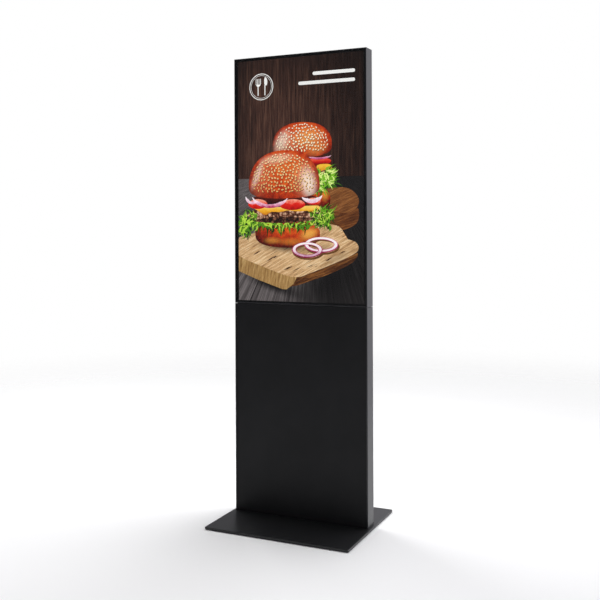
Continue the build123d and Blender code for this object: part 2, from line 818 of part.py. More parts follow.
def moving_leaf(z):
    """The door's half of a hinge: a leaf on the door's face and the upper knuckle."""
    high = (z + 0.15, z + hinge_length)
    knuckle = post(hinge_x, hinge_depth, high, hinge_barrel)
    leaf = slab((hinge_x, hinge_x + hinge_leaf_width), (kiosk_depth, kiosk_depth + hinge_leaf), high)
    return knuckle + leaf - post(hinge_x, hinge_depth, high, hinge_pin + hinge_clearance)


def pin(z):
    shaft = post(hinge_x, hinge_depth, (z - hinge_length, z + hinge_length), hinge_pin)
    return shaft + post(hinge_x, hinge_depth, (z + hinge_length + 0.2, z + hinge_length + 1.7), hinge_pin + 1.2) \
        + post(hinge_x, hinge_depth, (z + hinge_length, z + hinge_length + 0.2), hinge_pin)


def make_lock_body(z):
    """A cam lock's threaded barrel, its outer flange and its nut behind the door skin."""
    barrel = rod(lock_x, (cam_back + 0.6, kiosk_depth), z, lock_barrel)
    flange = rod(lock_x, (kiosk_depth, kiosk_depth + 2), z, lock_flange)
    flange = chamfer(flange.edges().sort_by(Axis.Y)[-1], 0.6)
    hexagon = extrude(RegularPolygon(13, 6), 2.5, both=True)
    nut = Pos(lock_x, front_y + door_skin - 2.5, z) * Rot(90, 0, 0) * hexagon
    return barrel + flange + nut - rod(lock_x, (cam_back - 1, kiosk_depth + 3), z, lock_plug)


def make_lock_plug(z):
    """The turning plug, with its keyway in the outer end and a square drive for the cam."""
    plug = rod(lock_x, (cam_back, kiosk_depth + 1.6), z, lock_plug - hinge_clearance)
    plug -= centred(lock_x, 1.4, (kiosk_depth - 8, kiosk_depth + 3), z, 8)
    return plug + centred(lock_x, 6, (cam_front - 0.6, cam_back), z, 6)


def make_lock_cam(z):
    """The cam, standing upright at rest so that the door is free."""
    v = (cam_front, cam_back)
    cam = centred(lock_x, lock_cam_width, v, z + lock_cam_reach / 2 - 4, lock_cam_reach + 8)
    cam = fillet(cam.edges().filter_by(Axis.Y), 4)
    return cam - centred(lock_x, 6, (v[0] - 1, v[1] + 1), z, 6)


# ---------------------------------------------------------------- leads
def lead(diameter, *points):
    """A round lead through (x, depth, z) points: straight runs joined by the widest arcs that fit."""
    route = [Vector(x, front_y + v, z) for x, v, z in points]
    radii = []
    for a, b, c in zip(route, route[1:], route[2:]):
        turn = radians((b - a).get_angle(c - b))
        radii.append(0.45 * min((b - a).length, (c - b).length) / tan(turn / 2))
    radii = [min(r, 60.0) for r in radii]
    print("lead", diameter, "radii", [round(r, 1) for r in radii])
    path = FilletPolyline(*route, radius=radii)
    start = Plane(origin=path @ 0, z_dir=path % 0)
    return sweep(start * Circle(diameter / 2), path=path)


def make_mains_lead():
    """From the inlet's back to the socket strip's left end."""
    end = -strip_length / 2
    return lead(
        power_diameter,
        (inlet_x, kiosk_depth - 22, inlet_z),
        (inlet_x, 24, inlet_z),
        (inlet_x - 32, 20, inlet_z + 6),
        (end - 22, 28, inlet_z + 24),
        (end - 34, 42, strip_z - 26),
        (end - 22, 44, strip_z),
        (end, 44, strip_z),
    )


def make_display_power_lead():
    """From the socket strip's right end, up behind the display, to the power board."""
    end = strip_length / 2
    x, width, z, height = power_board
    return lead(
        power_diameter,
        (end, 44, strip_z),
        (end + 24, 44, strip_z),
        (power_lane, lane_depth, strip_z + 45),
        (power_lane, lane_depth, joint_height + 42),
        (power_lane, lcd_back + 11, joint_height + 76),
        (power_lane - 18, lcd_back + 11, z),
        (x + 66, lcd_back + 11, z),
    )


def make_player_power_lead():
    """From the top of the socket strip to the underside of the media player."""
    low = strip_z + strip_height / 2
    high = player_z - player_size / 2
    return lead(
        5.0,
        (-60, 44, low),
        (-60, 44, low + 25),
        (-68, 40, low + 70),
        (-62, 43, high - 25),
        (-62, 43, high),
    )


def make_hdmi_lead():
    """From the media player's top, up the lead lane, to the display's mainboard."""
    top = player_z + player_size / 2
    x, width, z, height = mainboard
    return lead(
        hdmi_diameter,
        (hdmi_port, upright_front + 12, top - 2),
        (hdmi_port, upright_front + 12, top + 30),
        (hdmi_lane, lane_depth, top + 110),
        (hdmi_lane, lane_depth, z - 110),
        (hdmi_lane - 8, lcd_back + 11, z - 62),
        (hdmi_lane - 40, lcd_back + 11, z - 55),
        (x + 62, lcd_back + 11, z - 55),
    )


def make_touch_lead():
    """From the touch controller, down the lead lane, to the media player's top."""
    top = player_z + player_size / 2
    x, width, z, height = touch_board
    return lead(
        touch_diameter,
        (x + 28, lcd_back + 9, z),
        (x + 48, lcd_back + 9, z),
        (touch_lane, lane_depth, z - 30),
        (touch_lane, lane_depth, top + 165),
        (touch_port, upright_front + 12, top + 75),
        (touch_port, upright_front + 12, top - 2),
    )


def make_cable_clips():
    """Clips on the right upright's inner face that hold the three leads."""
    found = []
    top = player_z + player_size / 2
    face = upright_centre - upright_width / 2
    lanes = ((power_lane, power_diameter), (hdmi_lane, hdmi_diameter), (touch_lane, touch_diameter))
    places = ((top + 230, 3), (column_top - 40, 3), (joint_height + 24, 3), (display_z - 200, 2))
    for z, count in places:
        held = [lane for lane in lanes[:count] if z < display_z - 300 or lane[1] == hdmi_diameter]
        clip = slab((held[-1][0] - 6, face), (lane_depth - 6, lane_depth + 6), (z - 5, z + 5))
        for x, diameter in held:
            clip -= post(x, lane_depth, (z - 6, z + 6), diameter / 2 + 0.05)
        found.append(clip)
    return found


# ---------------------------------------------------------------- build every node
def main():
    os.makedirs("parts", exist_ok=True)
    service_z = sum(service_door_z) / 2
    housing_z = sum(display_door_z) / 2

    save("base_plate", make_base_plate())
    save("floor_pads", *make_floor_pads())
    save("base_bolts", *[base_bolt(x) for x in base_bolt_places()])
    save("foot_bar", make_foot_bar())
    save("upright_left", make_upright(-upright_centre))
    save("upright_right", make_upright(upright_centre))
    save("crossbars", *make_crossbars())
    save("frame_bolts", *frame_bolts(), *rail_screws(), *foot_screws())

    left = make_column_profile()
    save("column_profile_left", left)
    save("column_profile_right", mirror(left, about=Plane.YZ))
    save("column_front_panel", make_column_front())
    save("column_top_plate", make_column_top())
    save("cable_grommet", make_cable_grommet())

    side = make_housing_side()
    lower = make_housing_lower()
    middle = Plane(origin=(0, 0, joint_height + housing_height / 2), z_dir=(0, 0, 1))
    save("housing_profile_left", side)
    save("housing_profile_right", mirror(side, about=Plane.YZ))
    save("housing_profile_top", mirror(lower, about=middle))
    holes = spine_holes((joint_height - 1, joint_height + web + 1)) + stop_notches()
    save("housing_profile_bottom", lower - holes)
    save("corner_brackets", *make_corner_brackets())
    save("corner_screws", *corner_screws())

    save("glass_gasket", make_glass_gasket())
    save("touch_glass", make_glass())
    save("foam_spacer", make_foam_spacer())
    save("lcd_cell", make_lcd_cell())
    save("lcd_front_frame", make_lcd_front_frame())
    save("backlight_unit", make_backlight())
    save("hook_rails", make_hook_rail(-rail_pitch / 2), make_hook_rail(rail_pitch / 2))
    save("display_mainboard", *make_mainboard())
    save("display_power_board", *make_power_board())
    save("touch_controller", *make_touch_board())
    save("board_standoffs", *make_board_standoffs())
    save("speakers", *both_sides(make_speaker(speaker_x)))

    save("fan_bracket", make_fan_bracket())
    save("fan_frames", make_fan_frame(-fan_spacing / 2), make_fan_frame(fan_spacing / 2))
    save("fan_rotor_left", make_fan_rotor(-fan_spacing / 2))
    save("fan_rotor_right", make_fan_rotor(fan_spacing / 2))

    save("equipment_plate", make_equipment_plate())
    save("media_player", make_media_player())
    save("player_power_button", make_power_button())
    save("socket_strip", make_socket_strip())
    save("inlet_panel", make_inlet_panel())
    save("mains_inlet", make_mains_inlet())
    save("mains_switch_rocker", make_rocker())

    save("mains_lead", make_mains_lead())
    save("display_power_lead", make_display_power_lead())
    save("player_power_lead", make_player_power_lead())
    save("hdmi_lead", make_hdmi_lead())
    save("touch_lead", make_touch_lead())
    save("cable_clips", *make_cable_clips())

    low, high = service_door_z
    save("service_door", make_door(service_door_z, [(0, high - 60, 5, 4), (0, low + 60, 5, 4)]))
    low, high = display_door_z
    fields = [(0, high - 105, 9, 4), (0, low + 50, 7, 5)]
    save("display_door", make_door(display_door_z, fields))
    doors = (service_door_z, display_door_z)
    save("fixed_hinge_leaves", *[fixed_leaf(z) for d in doors for z in hinge_places(d)])
    save("hinge_pins", *[pin(z) for d in doors for z in hinge_places(d)])
    save("service_door_hinge_leaves", *[moving_leaf(z) for z in hinge_places(service_door_z)])
    save("display_door_hinge_leaves", *[moving_leaf(z) for z in hinge_places(display_door_z)])
    for name, z in (("service", service_z), ("display", housing_z)):
        save(name + "_lock_body", make_lock_body(z))
        save(name + "_lock_plug", make_lock_plug(z))
        save(name + "_lock_cam", make_lock_cam(z))


main()
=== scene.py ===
import math
import random

import bmesh
import bpy
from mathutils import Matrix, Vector


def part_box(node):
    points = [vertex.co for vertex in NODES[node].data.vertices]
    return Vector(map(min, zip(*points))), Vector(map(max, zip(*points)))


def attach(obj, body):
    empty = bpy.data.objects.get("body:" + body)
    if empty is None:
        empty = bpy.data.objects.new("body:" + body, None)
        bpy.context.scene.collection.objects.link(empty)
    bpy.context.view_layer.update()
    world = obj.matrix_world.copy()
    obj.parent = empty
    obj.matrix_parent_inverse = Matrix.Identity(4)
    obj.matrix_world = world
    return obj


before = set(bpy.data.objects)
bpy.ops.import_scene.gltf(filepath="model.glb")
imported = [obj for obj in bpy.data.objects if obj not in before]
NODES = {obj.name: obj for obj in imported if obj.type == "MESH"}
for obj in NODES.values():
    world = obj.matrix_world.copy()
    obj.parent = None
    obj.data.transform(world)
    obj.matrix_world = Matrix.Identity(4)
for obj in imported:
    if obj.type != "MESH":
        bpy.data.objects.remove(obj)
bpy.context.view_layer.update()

GLASS_LOW, GLASS_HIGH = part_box("touch_glass")
CELL_LOW, CELL_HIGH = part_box("lcd_cell")
FRAME_FRONT_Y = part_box("lcd_front_frame")[0].y
SCREEN_MIDDLE_Z = (CELL_LOW.z + CELL_HIGH.z) / 2

# The lit picture, 43 inch 16:9 upright, in metres
PICTURE_WIDTH = 0.5294
PICTURE_HEIGHT = 0.9412
PICTURE_LOW_X = -PICTURE_WIDTH / 2
PICTURE_LOW_Z = SCREEN_MIDDLE_Z - PICTURE_HEIGHT / 2
LAYER_BACK_Y = FRAME_FRONT_Y + 0.0006      # just in front of the LCD cell, inside its frame
LAYER_STEP = 0.000055                      # each layer of the picture lies this far before the last
PICTURE_STRENGTH = 0.95


# ------------------------------------------------------------------ node trees
class Tree:
    """A material with short calls for the nodes used here."""

    def __init__(self, name):
        self.material = bpy.data.materials.new(name)
        self.material.use_nodes = True
        self.tree = self.material.node_tree
        self.tree.nodes.clear()
        self.output = self.tree.nodes.new("ShaderNodeOutputMaterial")
        self.place = self.put("ShaderNodeTexCoord").outputs["Object"]

    def put(self, kind, inputs=None, **settings):
        node = self.tree.nodes.new(kind)
        for key, value in settings.items():
            setattr(node, key, value)
        for key, value in (inputs or {}).items():
            self.join(node.inputs[key], value)
        return node

    def join(self, socket, value):
        if isinstance(value, bpy.types.NodeSocket):
            self.tree.links.new(value, socket)
        elif isinstance(value, (tuple, list)) and len(value) == 3 and len(socket.default_value) == 4:
            socket.default_value = (*value, 1.0)
        else:
            socket.default_value = value

    def math(self, op, a, b=0.0):
        return self.put("ShaderNodeMath", {0: a, 1: b}, operation=op).outputs[0]

    def product(self, a, b):
        return self.math("MULTIPLY", a, b)

    def total(self, a, b):
        return self.math("ADD", a, b)

    def vector(self, op, a, b):
        return self.put("ShaderNodeVectorMath", {0: a, 1: b}, operation=op).outputs[0]

    def scaled(self, sx, sy, sz, turn=(0.0, 0.0, 0.0), place=None):
        inputs = {"Vector": place or self.place, "Scale": (sx, sy, sz), "Rotation": turn}
        return self.put("ShaderNodeMapping", inputs).outputs[0]

    def noise(self, scale, detail=3.0, roughness=0.55, place=None, distortion=0.0):
        inputs = {"Vector": place or self.place, "Scale": scale, "Detail": detail,
                  "Roughness": roughness, "Distortion": distortion}
        return self.put("ShaderNodeTexNoise", inputs).outputs["Fac"]

    def cells(self, scale, place=None, output="Distance", randomness=1.0):
        inputs = {"Vector": place or self.place, "Scale": scale, "Randomness": randomness}
        return self.put("ShaderNodeTexVoronoi", inputs).outputs[output]

    def ramp(self, fac, *stops):
        """A colour ramp; each stop is (position, colour or grey)."""
        node = self.put("ShaderNodeValToRGB", {"Fac": fac})
        points = node.color_ramp.elements
        while len(points) < len(stops):
            points.new(0.5)
        for point, (position, colour) in zip(points, stops):
            point.position = position
            point.color = (*colour, 1.0) if isinstance(colour, tuple) else (colour, colour, colour, 1.0)
        return node.outputs["Color"]

    def blend(self, fac, a, b, mode="MIX"):
        node = self.put("ShaderNodeMix", data_type="RGBA", blend_type=mode)
        self.join(node.inputs[0], fac)
        self.join(node.inputs[6], a)
        self.join(node.inputs[7], b)
        return node.outputs[2]

    def span(self, value, low, high, to_low=0.0, to_high=1.0):
        """The value mapped smoothly from low..high to to_low..to_high."""
        inputs = {"Value": value, "From Min": low, "From Max": high, "To Min": to_low, "To Max": to_high}
        return self.put("ShaderNodeMapRange", inputs, interpolation_type="SMOOTHSTEP").outputs["Result"]

    def axis(self, name, place=None):
        return self.put("ShaderNodeSeparateXYZ", {0: place or self.place}).outputs[name]

    def bump(self, height, distance, strength):
        inputs = {"Height": height, "Distance": distance, "Strength": strength}
        return self.put("ShaderNodeBump", inputs).outputs["Normal"]

    def edges(self, radius):
        """Near 1 along sharp edges and 0 on flat faces."""
        soft = self.put("ShaderNodeBevel", {"Radius": radius}, samples=4).outputs["Normal"]
        flat = self.put("ShaderNodeNewGeometry").outputs["Normal"]
        dot = self.put("ShaderNodeVectorMath", {0: soft, 1: flat},
                       operation="DOT_PRODUCT").outputs["Value"]
        return self.span(dot, 0.985, 0.80)

    def surface(self, **sockets):
        shader = self.put("ShaderNodeBsdfPrincipled")
        for key, value in sockets.items():
            self.join(shader.inputs[key.replace("_", " ")], value)
        self.tree.links.new(shader.outputs[0], self.output.inputs["Surface"])
        return self.material

    def glow(self, colour):
        """A lit part of the picture: it shines in the colour and hardly reflects."""
        base = self.blend(0.72, colour, (0.0, 0.0, 0.0))
        return self.surface(Base_Color=base, Roughness=1.0, Specular_IOR_Level=0.0,
                            Emission_Color=colour, Emission_Strength=PICTURE_STRENGTH)


# ------------------------------------------------------------------ materials of the kiosk
def powder_coat(name, dark, light, rough, gloss, grain, wear):
    """Fine-textured powder coat: leathery grain, slow sheen changes, thin rubbed edges, a little dust."""
    t = Tree(name)
    slow = t.noise(5.0, 3.0)
    fine = t.noise(grain, 2.0)
    speck = t.cells(grain * 0.55)
    colour = t.ramp(slow, (0.30, dark), (0.70, light))
    edge = t.product(t.edges(0.0009), t.span(t.noise(60.0, 4.0), 0.42, 0.68))
    colour = t.blend(t.product(edge, wear), colour, (0.16, 0.16, 0.165))
    dust = t.product(t.span(t.noise(450.0, 3.0), 0.66, 0.80), 0.05)
    colour = t.blend(dust, colour, (0.35, 0.34, 0.32))
    roughness = t.span(t.noise(7.0, 4.0), 0.25, 0.75, rough - 0.015, rough + 0.02)
    height = t.total(t.product(fine, 0.6), t.product(speck, 0.4))
    normal = t.bump(height, 0.00005, 0.5)
    return t.surface(Base_Color=colour, Roughness=roughness, Normal=normal, Specular_IOR_Level=gloss)


def anodised(name):
    """Black anodised extrusion with faint drawing lines along its length."""
    t = Tree(name)
    lines = t.noise(1.0, 3.0, place=t.scaled(2600.0, 2600.0, 6.0))
    slow = t.noise(6.0, 3.0)
    colour = t.ramp(slow, (0.3, (0.014, 0.0145, 0.017)), (0.7, (0.021, 0.022, 0.026)))
    edge = t.product(t.edges(0.0008), t.span(t.noise(50.0, 4.0), 0.4, 0.7))
    colour = t.blend(t.product(edge, 0.6), colour, (0.30, 0.30, 0.32))
    roughness = t.span(lines, 0.3, 0.7, 0.30, 0.40)
    normal = t.bump(lines, 0.00002, 0.6)
    return t.surface(Base_Color=colour, Roughness=roughness, Normal=normal, Specular_IOR_Level=0.55)


def zinc(name, tint):
    """Bright zinc plate: fine-grained, with a faint bloom."""
    t = Tree(name)
    bloom = t.span(t.noise(55.0, 5.0), 0.50, 0.80)
    grain = t.noise(900.0, 3.0)
    grey = t.ramp(grain, (0.3, tuple(0.90 * c for c in tint)), (0.7, tint))
    colour = t.blend(t.product(bloom, 0.35), grey, tuple(0.72 * c for c in tint))
    roughness = t.span(bloom, 0.0, 1.0, 0.30, 0.42)
    return t.surface(Base_Color=colour, Roughness=roughness, Metallic=0.92,
                     Normal=t.bump(grain, 0.00003, 0.5))


def spangled(name):
    """Hot-dip galvanised steel: flat crystals a few millimetres wide, each in a grey of its own."""
    t = Tree(name)
    place = t.scaled(1.0, 1.0, 1.0, (0.3, 0.2, 0.4))
    broad = t.axis("X", t.cells(170.0, place, "Color"))
    small = t.axis("Y", t.cells(420.0, place, "Color"))
    facet = t.total(t.product(broad, 0.65), t.product(small, 0.35))
    colour = t.ramp(facet, (0.15, (0.34, 0.35, 0.36)), (0.55, (0.39, 0.40, 0.41)),
                    (0.90, (0.45, 0.46, 0.47)))
    roughness = t.span(facet, 0.1, 0.9, 0.42, 0.32)
    normal = t.bump(t.noise(400.0, 3.0), 0.00004, 0.4)
    return t.surface(Base_Color=colour, Roughness=roughness, Metallic=0.85, Normal=normal)


def rolled(name):
    """Plated sheet: even light grey with faint lengthwise rolling lines and a few rubbed spots."""
    t = Tree(name)
    lines = t.noise(1.0, 4.0, place=t.scaled(700.0, 700.0, 9.0))
    rubbed = t.span(t.noise(18.0, 4.0), 0.60, 0.80)
    colour = t.ramp(lines, (0.3, (0.50, 0.505, 0.51)), (0.7, (0.58, 0.585, 0.59)))
    colour = t.blend(t.product(rubbed, 0.18), colour, (0.40, 0.40, 0.405))
    roughness = t.span(lines, 0.3, 0.7, 0.30, 0.38)
    return t.surface(Base_Color=colour, Roughness=roughness, Metallic=0.80,
                     Normal=t.bump(lines, 0.00002, 0.5))


def bright_metal(name, colour_low, colour_high, rough):
    """Turned, polished metal with fine rings round the part's axis."""
    t = Tree(name)
    rings = t.noise(1.0, 2.0, place=t.scaled(2200.0, 900.0, 2200.0))
    colour = t.ramp(t.noise(80.0, 3.0), (0.3, colour_low), (0.7, colour_high))
    roughness = t.span(rings, 0.3, 0.7, rough, rough + 0.12)
    return t.surface(Base_Color=colour, Roughness=roughness, Metallic=1.0,
                     Normal=t.bump(rings, 0.00002, 0.5))


def moulded(name, dark, light, rough, grain=1800.0):
    """Moulded plastic with a spark-eroded grain."""
    t = Tree(name)
    colour = t.ramp(t.noise(40.0, 4.0), (0.3, dark), (0.7, light))
    grain_height = t.noise(grain, 2.0)
    roughness = t.span(t.noise(90.0, 4.0), 0.3, 0.7, rough - 0.05, rough + 0.08)
    normal = t.bump(grain_height, 0.00005, 0.5)
    return t.surface(Base_Color=colour, Roughness=roughness, Normal=normal, Specular_IOR_Level=0.45)


def rubber(name, level=0.018):
    """Matt black rubber with a chalky bloom."""
    t = Tree(name)
    bloom = t.span(t.noise(45.0, 5.0), 0.5, 0.8)
    colour = t.blend(t.product(bloom, 0.25), (level, level, level), (0.09, 0.088, 0.085))
    normal = t.bump(t.noise(900.0, 3.0), 0.00008, 0.6)
    return t.surface(Base_Color=colour, Roughness=t.span(bloom, 0.0, 1.0, 0.62, 0.85), Normal=normal)


def sheath(name):
    """Extruded cable sheath: faint lengthwise lines and a soft sheen."""
    t = Tree(name)
    lines = t.noise(1.0, 2.0, place=t.scaled(1800.0, 1800.0, 25.0))
    colour = t.ramp(t.noise(30.0, 3.0), (0.3, (0.012, 0.012, 0.013)), (0.7, (0.022, 0.022, 0.023)))
    return t.surface(Base_Color=colour, Roughness=t.span(lines, 0.3, 0.7, 0.42, 0.55),
                     Normal=t.bump(lines, 0.00004, 0.5))


def circuit(name):
    """Green solder mask over copper traces, with rows of bare pads and small chips."""
    t = Tree(name)
    flat_on = t.scaled(1.0, 1.0, 1.0, (math.pi / 2, 0.0, 0.0))
    brick = t.put("ShaderNodeTexBrick", {
        "Vector": flat_on, "Scale": 60.0, "Brick Width": 0.9, "Row Height": 0.11, "Mortar Size": 0.035,
        "Color1": (0.004, 0.045, 0.016), "Color2": (0.005, 0.055, 0.020), "Mortar": (0.012, 0.11, 0.045)})
    pads = t.span(t.cells(330.0, randomness=0.25), 0.30, 0.20)
    padded = t.product(pads, t.span(t.noise(45.0, 2.0), 0.54, 0.57))
    colour = t.blend(padded, brick.outputs["Color"], (0.60, 0.47, 0.20))
    chips = t.put("ShaderNodeTexVoronoi", {"Vector": t.place, "Scale": 110.0, "Randomness": 0.5},
                  distance="CHEBYCHEV").outputs["Distance"]
    chips = t.product(t.span(chips, 0.30, 0.27), t.span(t.noise(33.0, 2.0), 0.55, 0.58))
    colour = t.blend(chips, colour, (0.012, 0.012, 0.013))
    return t.surface(Base_Color=colour, Roughness=t.span(t.noise(200.0, 2.0), 0.3, 0.7, 0.26, 0.40),
                     Normal=t.bump(t.total(padded, chips), 0.0003, 0.6), Specular_IOR_Level=0.5)


def clear_glass(name):
    """Anti-reflection glass, with the faintest tint left where hands have been."""
    t = Tree(name)
    touched = t.span(t.noise(14.0, 5.0), 0.45, 0.75)
    tint = t.ramp(touched, (0.0, (0.985, 0.99, 0.99)), (1.0, (0.955, 0.96, 0.955)))
    return t.surface(Base_Color=tint, Roughness=0.0, Transmission_Weight=1.0, IOR=1.5,
                     Specular_IOR_Level=0.10)


def printed_black(name):
    """Ceramic ink fired on the glass's back: deep black with a faint dot screen."""
    t = Tree(name)
    dots = t.span(t.cells(900.0, randomness=0.0), 0.30, 0.38)
    colour = t.ramp(dots, (0.0, (0.0035, 0.0035, 0.004)), (1.0, (0.006, 0.006, 0.0065)))
    return t.surface(Base_Color=colour, Roughness=t.span(t.noise(30.0, 3.0), 0.3, 0.7, 0.35, 0.5),
                     Specular_IOR_Level=0.3)


def screen_off(name):
    """The LCD cell's dark polariser, seen only round the lit picture."""
    t = Tree(name)
    grid = t.noise(1.0, 2.0, place=t.scaled(3000.0, 3000.0, 3000.0))
    colour = t.ramp(grid, (0.3, (0.006, 0.006, 0.008)), (0.7, (0.010, 0.010, 0.012)))
    return t.surface(Base_Color=colour, Roughness=t.span(grid, 0.3, 0.7, 0.2, 0.28))


MATERIALS = {
    "base": powder_coat("base_powder_coat", (0.010, 0.0102, 0.0115), (0.014, 0.0142, 0.0155),
                        rough=0.33, gloss=0.42, grain=1300.0, wear=0.7),
    "panel": powder_coat("panel_powder_coat", (0.0180, 0.0182, 0.0196), (0.0234, 0.0237, 0.0254),
                         rough=0.42, gloss=0.15, grain=1700.0, wear=0.4),
    "profile": anodised("anodised_profile"),
    "zinc": zinc("zinc_plate", (0.56, 0.57, 0.56)),
    "galvanised": spangled("galvanised_sheet"),
    "tray": rolled("rolled_tray"),
    "grey_coat": powder_coat("grey_powder_coat", (0.30, 0.305, 0.31), (0.35, 0.355, 0.36),
                             rough=0.45, gloss=0.4, grain=1500.0, wear=0.3),
    "chrome": bright_metal("plated_lock", (0.55, 0.55, 0.56), (0.70, 0.70, 0.71), 0.14),
    "screw": bright_metal("zinc_screw", (0.42, 0.43, 0.43), (0.56, 0.56, 0.55), 0.26),
    "black_plastic": moulded("black_plastic", (0.012, 0.012, 0.013), (0.020, 0.020, 0.021), 0.46),
    "grey_plastic": moulded("grey_plastic", (0.20, 0.205, 0.21), (0.27, 0.275, 0.28), 0.45),
    "red_plastic": moulded("red_switch", (0.34, 0.012, 0.010), (0.46, 0.020, 0.015), 0.28, 2500.0),
    "rubber": rubber("black_rubber"),
    "foam": rubber("black_foam", 0.010),
    "sheath": sheath("cable_sheath"),
    "circuit": circuit("circuit_board"),
    "glass": clear_glass("cover_glass"),
    "ink": printed_black("printed_border"),
    "cell": screen_off("polariser"),
}
FINISHED = {
    "base": ["base_plate"],
    "galvanised": ["foot_bar", "upright_left", "upright_right", "crossbars"],
    "rubber": ["floor_pads", "cable_grommet", "glass_gasket"],
    "screw": ["base_bolts", "frame_bolts", "corner_screws", "board_standoffs", "hinge_pins"],
    "profile": ["column_profile_left", "column_profile_right", "housing_profile_left",
                "housing_profile_right", "housing_profile_top", "housing_profile_bottom"],
    "panel": ["column_front_panel", "column_top_plate", "lcd_front_frame", "inlet_panel",
              "service_door", "display_door", "fixed_hinge_leaves", "service_door_hinge_leaves",
              "display_door_hinge_leaves"],
    "zinc": ["corner_brackets", "hook_rails", "fan_bracket", "service_lock_cam", "display_lock_cam"],
    "glass": ["touch_glass"],
    "foam": ["foam_spacer"],
    "cell": ["lcd_cell"],
    "tray": ["backlight_unit"],
    "circuit": ["display_mainboard", "display_power_board", "touch_controller"],
    "black_plastic": ["speakers", "fan_frames", "fan_rotor_left", "fan_rotor_right", "media_player",
                      "mains_inlet", "cable_clips"],
    "grey_coat": ["equipment_plate"],
    "grey_plastic": ["player_power_button", "socket_strip"],
    "red_plastic": ["mains_switch_rocker"],
    "sheath": ["mains_lead", "display_power_lead", "player_power_lead", "hdmi_lead", "touch_lead"],
    "chrome": ["service_lock_body", "service_lock_plug", "display_lock_body", "display_lock_plug"],
}
for finish, nodes in FINISHED.items():
    for node in nodes:
        slots = NODES[node].data.materials
        slots.clear()
        slots.append(MATERIALS[finish])


# ------------------------------------------------------------------ flat pieces of the picture
# Outlines are in millimetres from the picture's lower left corner: u to the right and w up.
def spot(u, w, layer):
    """Where a point of the picture lies in the model, cut off at the picture's edge."""
    u = min(max(u, 0.0), PICTURE_WIDTH * 1000)
    w = min(max(w, 0.0), PICTURE_HEIGHT * 1000)
    return (PICTURE_LOW_X + u / 1000, LAYER_BACK_Y - layer * LAYER_STEP, PICTURE_LOW_Z + w / 1000)


def add_object(name, mesh, material):
    """A finished bmesh as an object of the scene."""
    data = bpy.data.meshes.new(name)
    mesh.to_mesh(data)
    mesh.free()
    data.materials.append(material)
    thing = bpy.data.objects.new(name, data)
    bpy.context.scene.collection.objects.link(thing)
    return thing


def flat(name, outlines, layer, material):
    """One mesh of flat outlines in a layer of the picture, each a list of (u, w) points."""
    mesh = bmesh.new()
    for outline in outlines:
        mesh.faces.new([mesh.verts.new(spot(u, w, layer)) for u, w in outline])
    bmesh.ops.triangulate(mesh, faces=mesh.faces)
    bmesh.ops.recalc_face_normals(mesh, faces=mesh.faces)
    for face in mesh.faces:
        if face.normal.y > 0:
            face.normal_flip()
    piece = add_object(name, mesh, material)
    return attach(piece, "kiosk")


def rectangle(u0, w0, u1, w1):
    return [(u0, w0), (u1, w0), (u1, w1), (u0, w1)]


def bar(u0, u1, w, thick):
    """A level bar with round ends, about the height w."""
    turns = [math.pi * i / 10 for i in range(11)]
    right = [(u1 + thick / 2 * math.sin(a), w - thick / 2 * math.cos(a)) for a in turns]
    return right + [(u0 - thick / 2 * math.sin(a), w + thick / 2 * math.cos(a)) for a in turns]


def rounded(points, rounds=3):
    """The outline with its corners cut again and again until it is smooth."""
    for _ in range(rounds):
        cut = []
        for (u0, w0), (u1, w1) in zip(points, points[1:] + points[:1]):
            cut.append((0.75 * u0 + 0.25 * u1, 0.75 * w0 + 0.25 * w1))
            cut.append((0.25 * u0 + 0.75 * u1, 0.25 * w0 + 0.75 * w1))
        points = cut
    return points


def waves(seed):
    """A smooth wandering function of an angle, between about -1 and 1."""
    chance = random.Random(seed)
    parts = [(k, chance.uniform(-1, 1) / k, chance.uniform(0, 2 * math.pi)) for k in range(2, 9)]
    return lambda angle: sum(size * math.sin(k * angle + phase) for k, size, phase in parts)


def oval(cu, cw, ru, rw, wobble, seed, count=64):
    """A closed oval whose outline wanders smoothly by the wobble."""
    wander = waves(seed)
    points = []
    for i in range(count):
        a = 2 * math.pi * i / count
        swell = 1 + wobble * wander(a)
        points.append((cu + ru * swell * math.cos(a), cw + rw * swell * math.sin(a)))
    return points


def dome(cu, cw, ru, up, down, seed):
    """A bun's outline: a high round top and a shallow underside with squarer ends."""
    wander = waves(seed)
    count = 96
    points = []
    for i in range(count):
        a = 2 * math.pi * i / count
        c, s = math.cos(a), math.sin(a)
        r = 1 + 0.02 * wander(a)
        high, square = (up, 0.90) if s > 0 else (down, 0.62)
        u = cu + ru * math.copysign(abs(c) ** 0.88, c) * r
        w = cw + high * math.copysign(abs(s) ** square, s) * r
        points.append((u, w))
    return points


def ring(cu, cw, ru, rw, thick, low):
    """A closed ring as four-cornered faces, thinner by the share low at its near and far sides."""
    count = 56

    def at(i, ins):
        a = 2 * math.pi * i / count
        return (cu + (ru - ins) * math.cos(a), cw + (rw - ins * low) * math.sin(a))
    return [[at(i, 0), at(i + 1, 0), at(i + 1, thick), at(i, thick)] for i in range(count)]


def band(cu, cw, ru, rw, thick, start, end):
    """A curved band, such as a slice's rim, between two angles in degrees, pointed at its ends."""
    count = 28
    outer, inner = [], []
    for i in range(count + 1):
        a = math.radians(start + (end - start) * i / count)
        t = thick * min(1.0, 4.0 * min(i, count - i) / count + 0.15)
        outer.append((cu + ru * math.cos(a), cw + rw * math.sin(a)))
        inner.append((cu + (ru - t) * math.cos(a), cw + (rw - t * 0.85) * math.sin(a)))
    return outer + inner[::-1]


# ------------------------------------------------------------------ what the picture is painted with
def rgb(r, g, b):
    """A linear colour from the 0 to 255 values that a screen shows."""
    return tuple(((c / 255 + 0.055) / 1.055) ** 2.4 if c > 10 else c / 255 / 12.92 for c in (r, g, b))


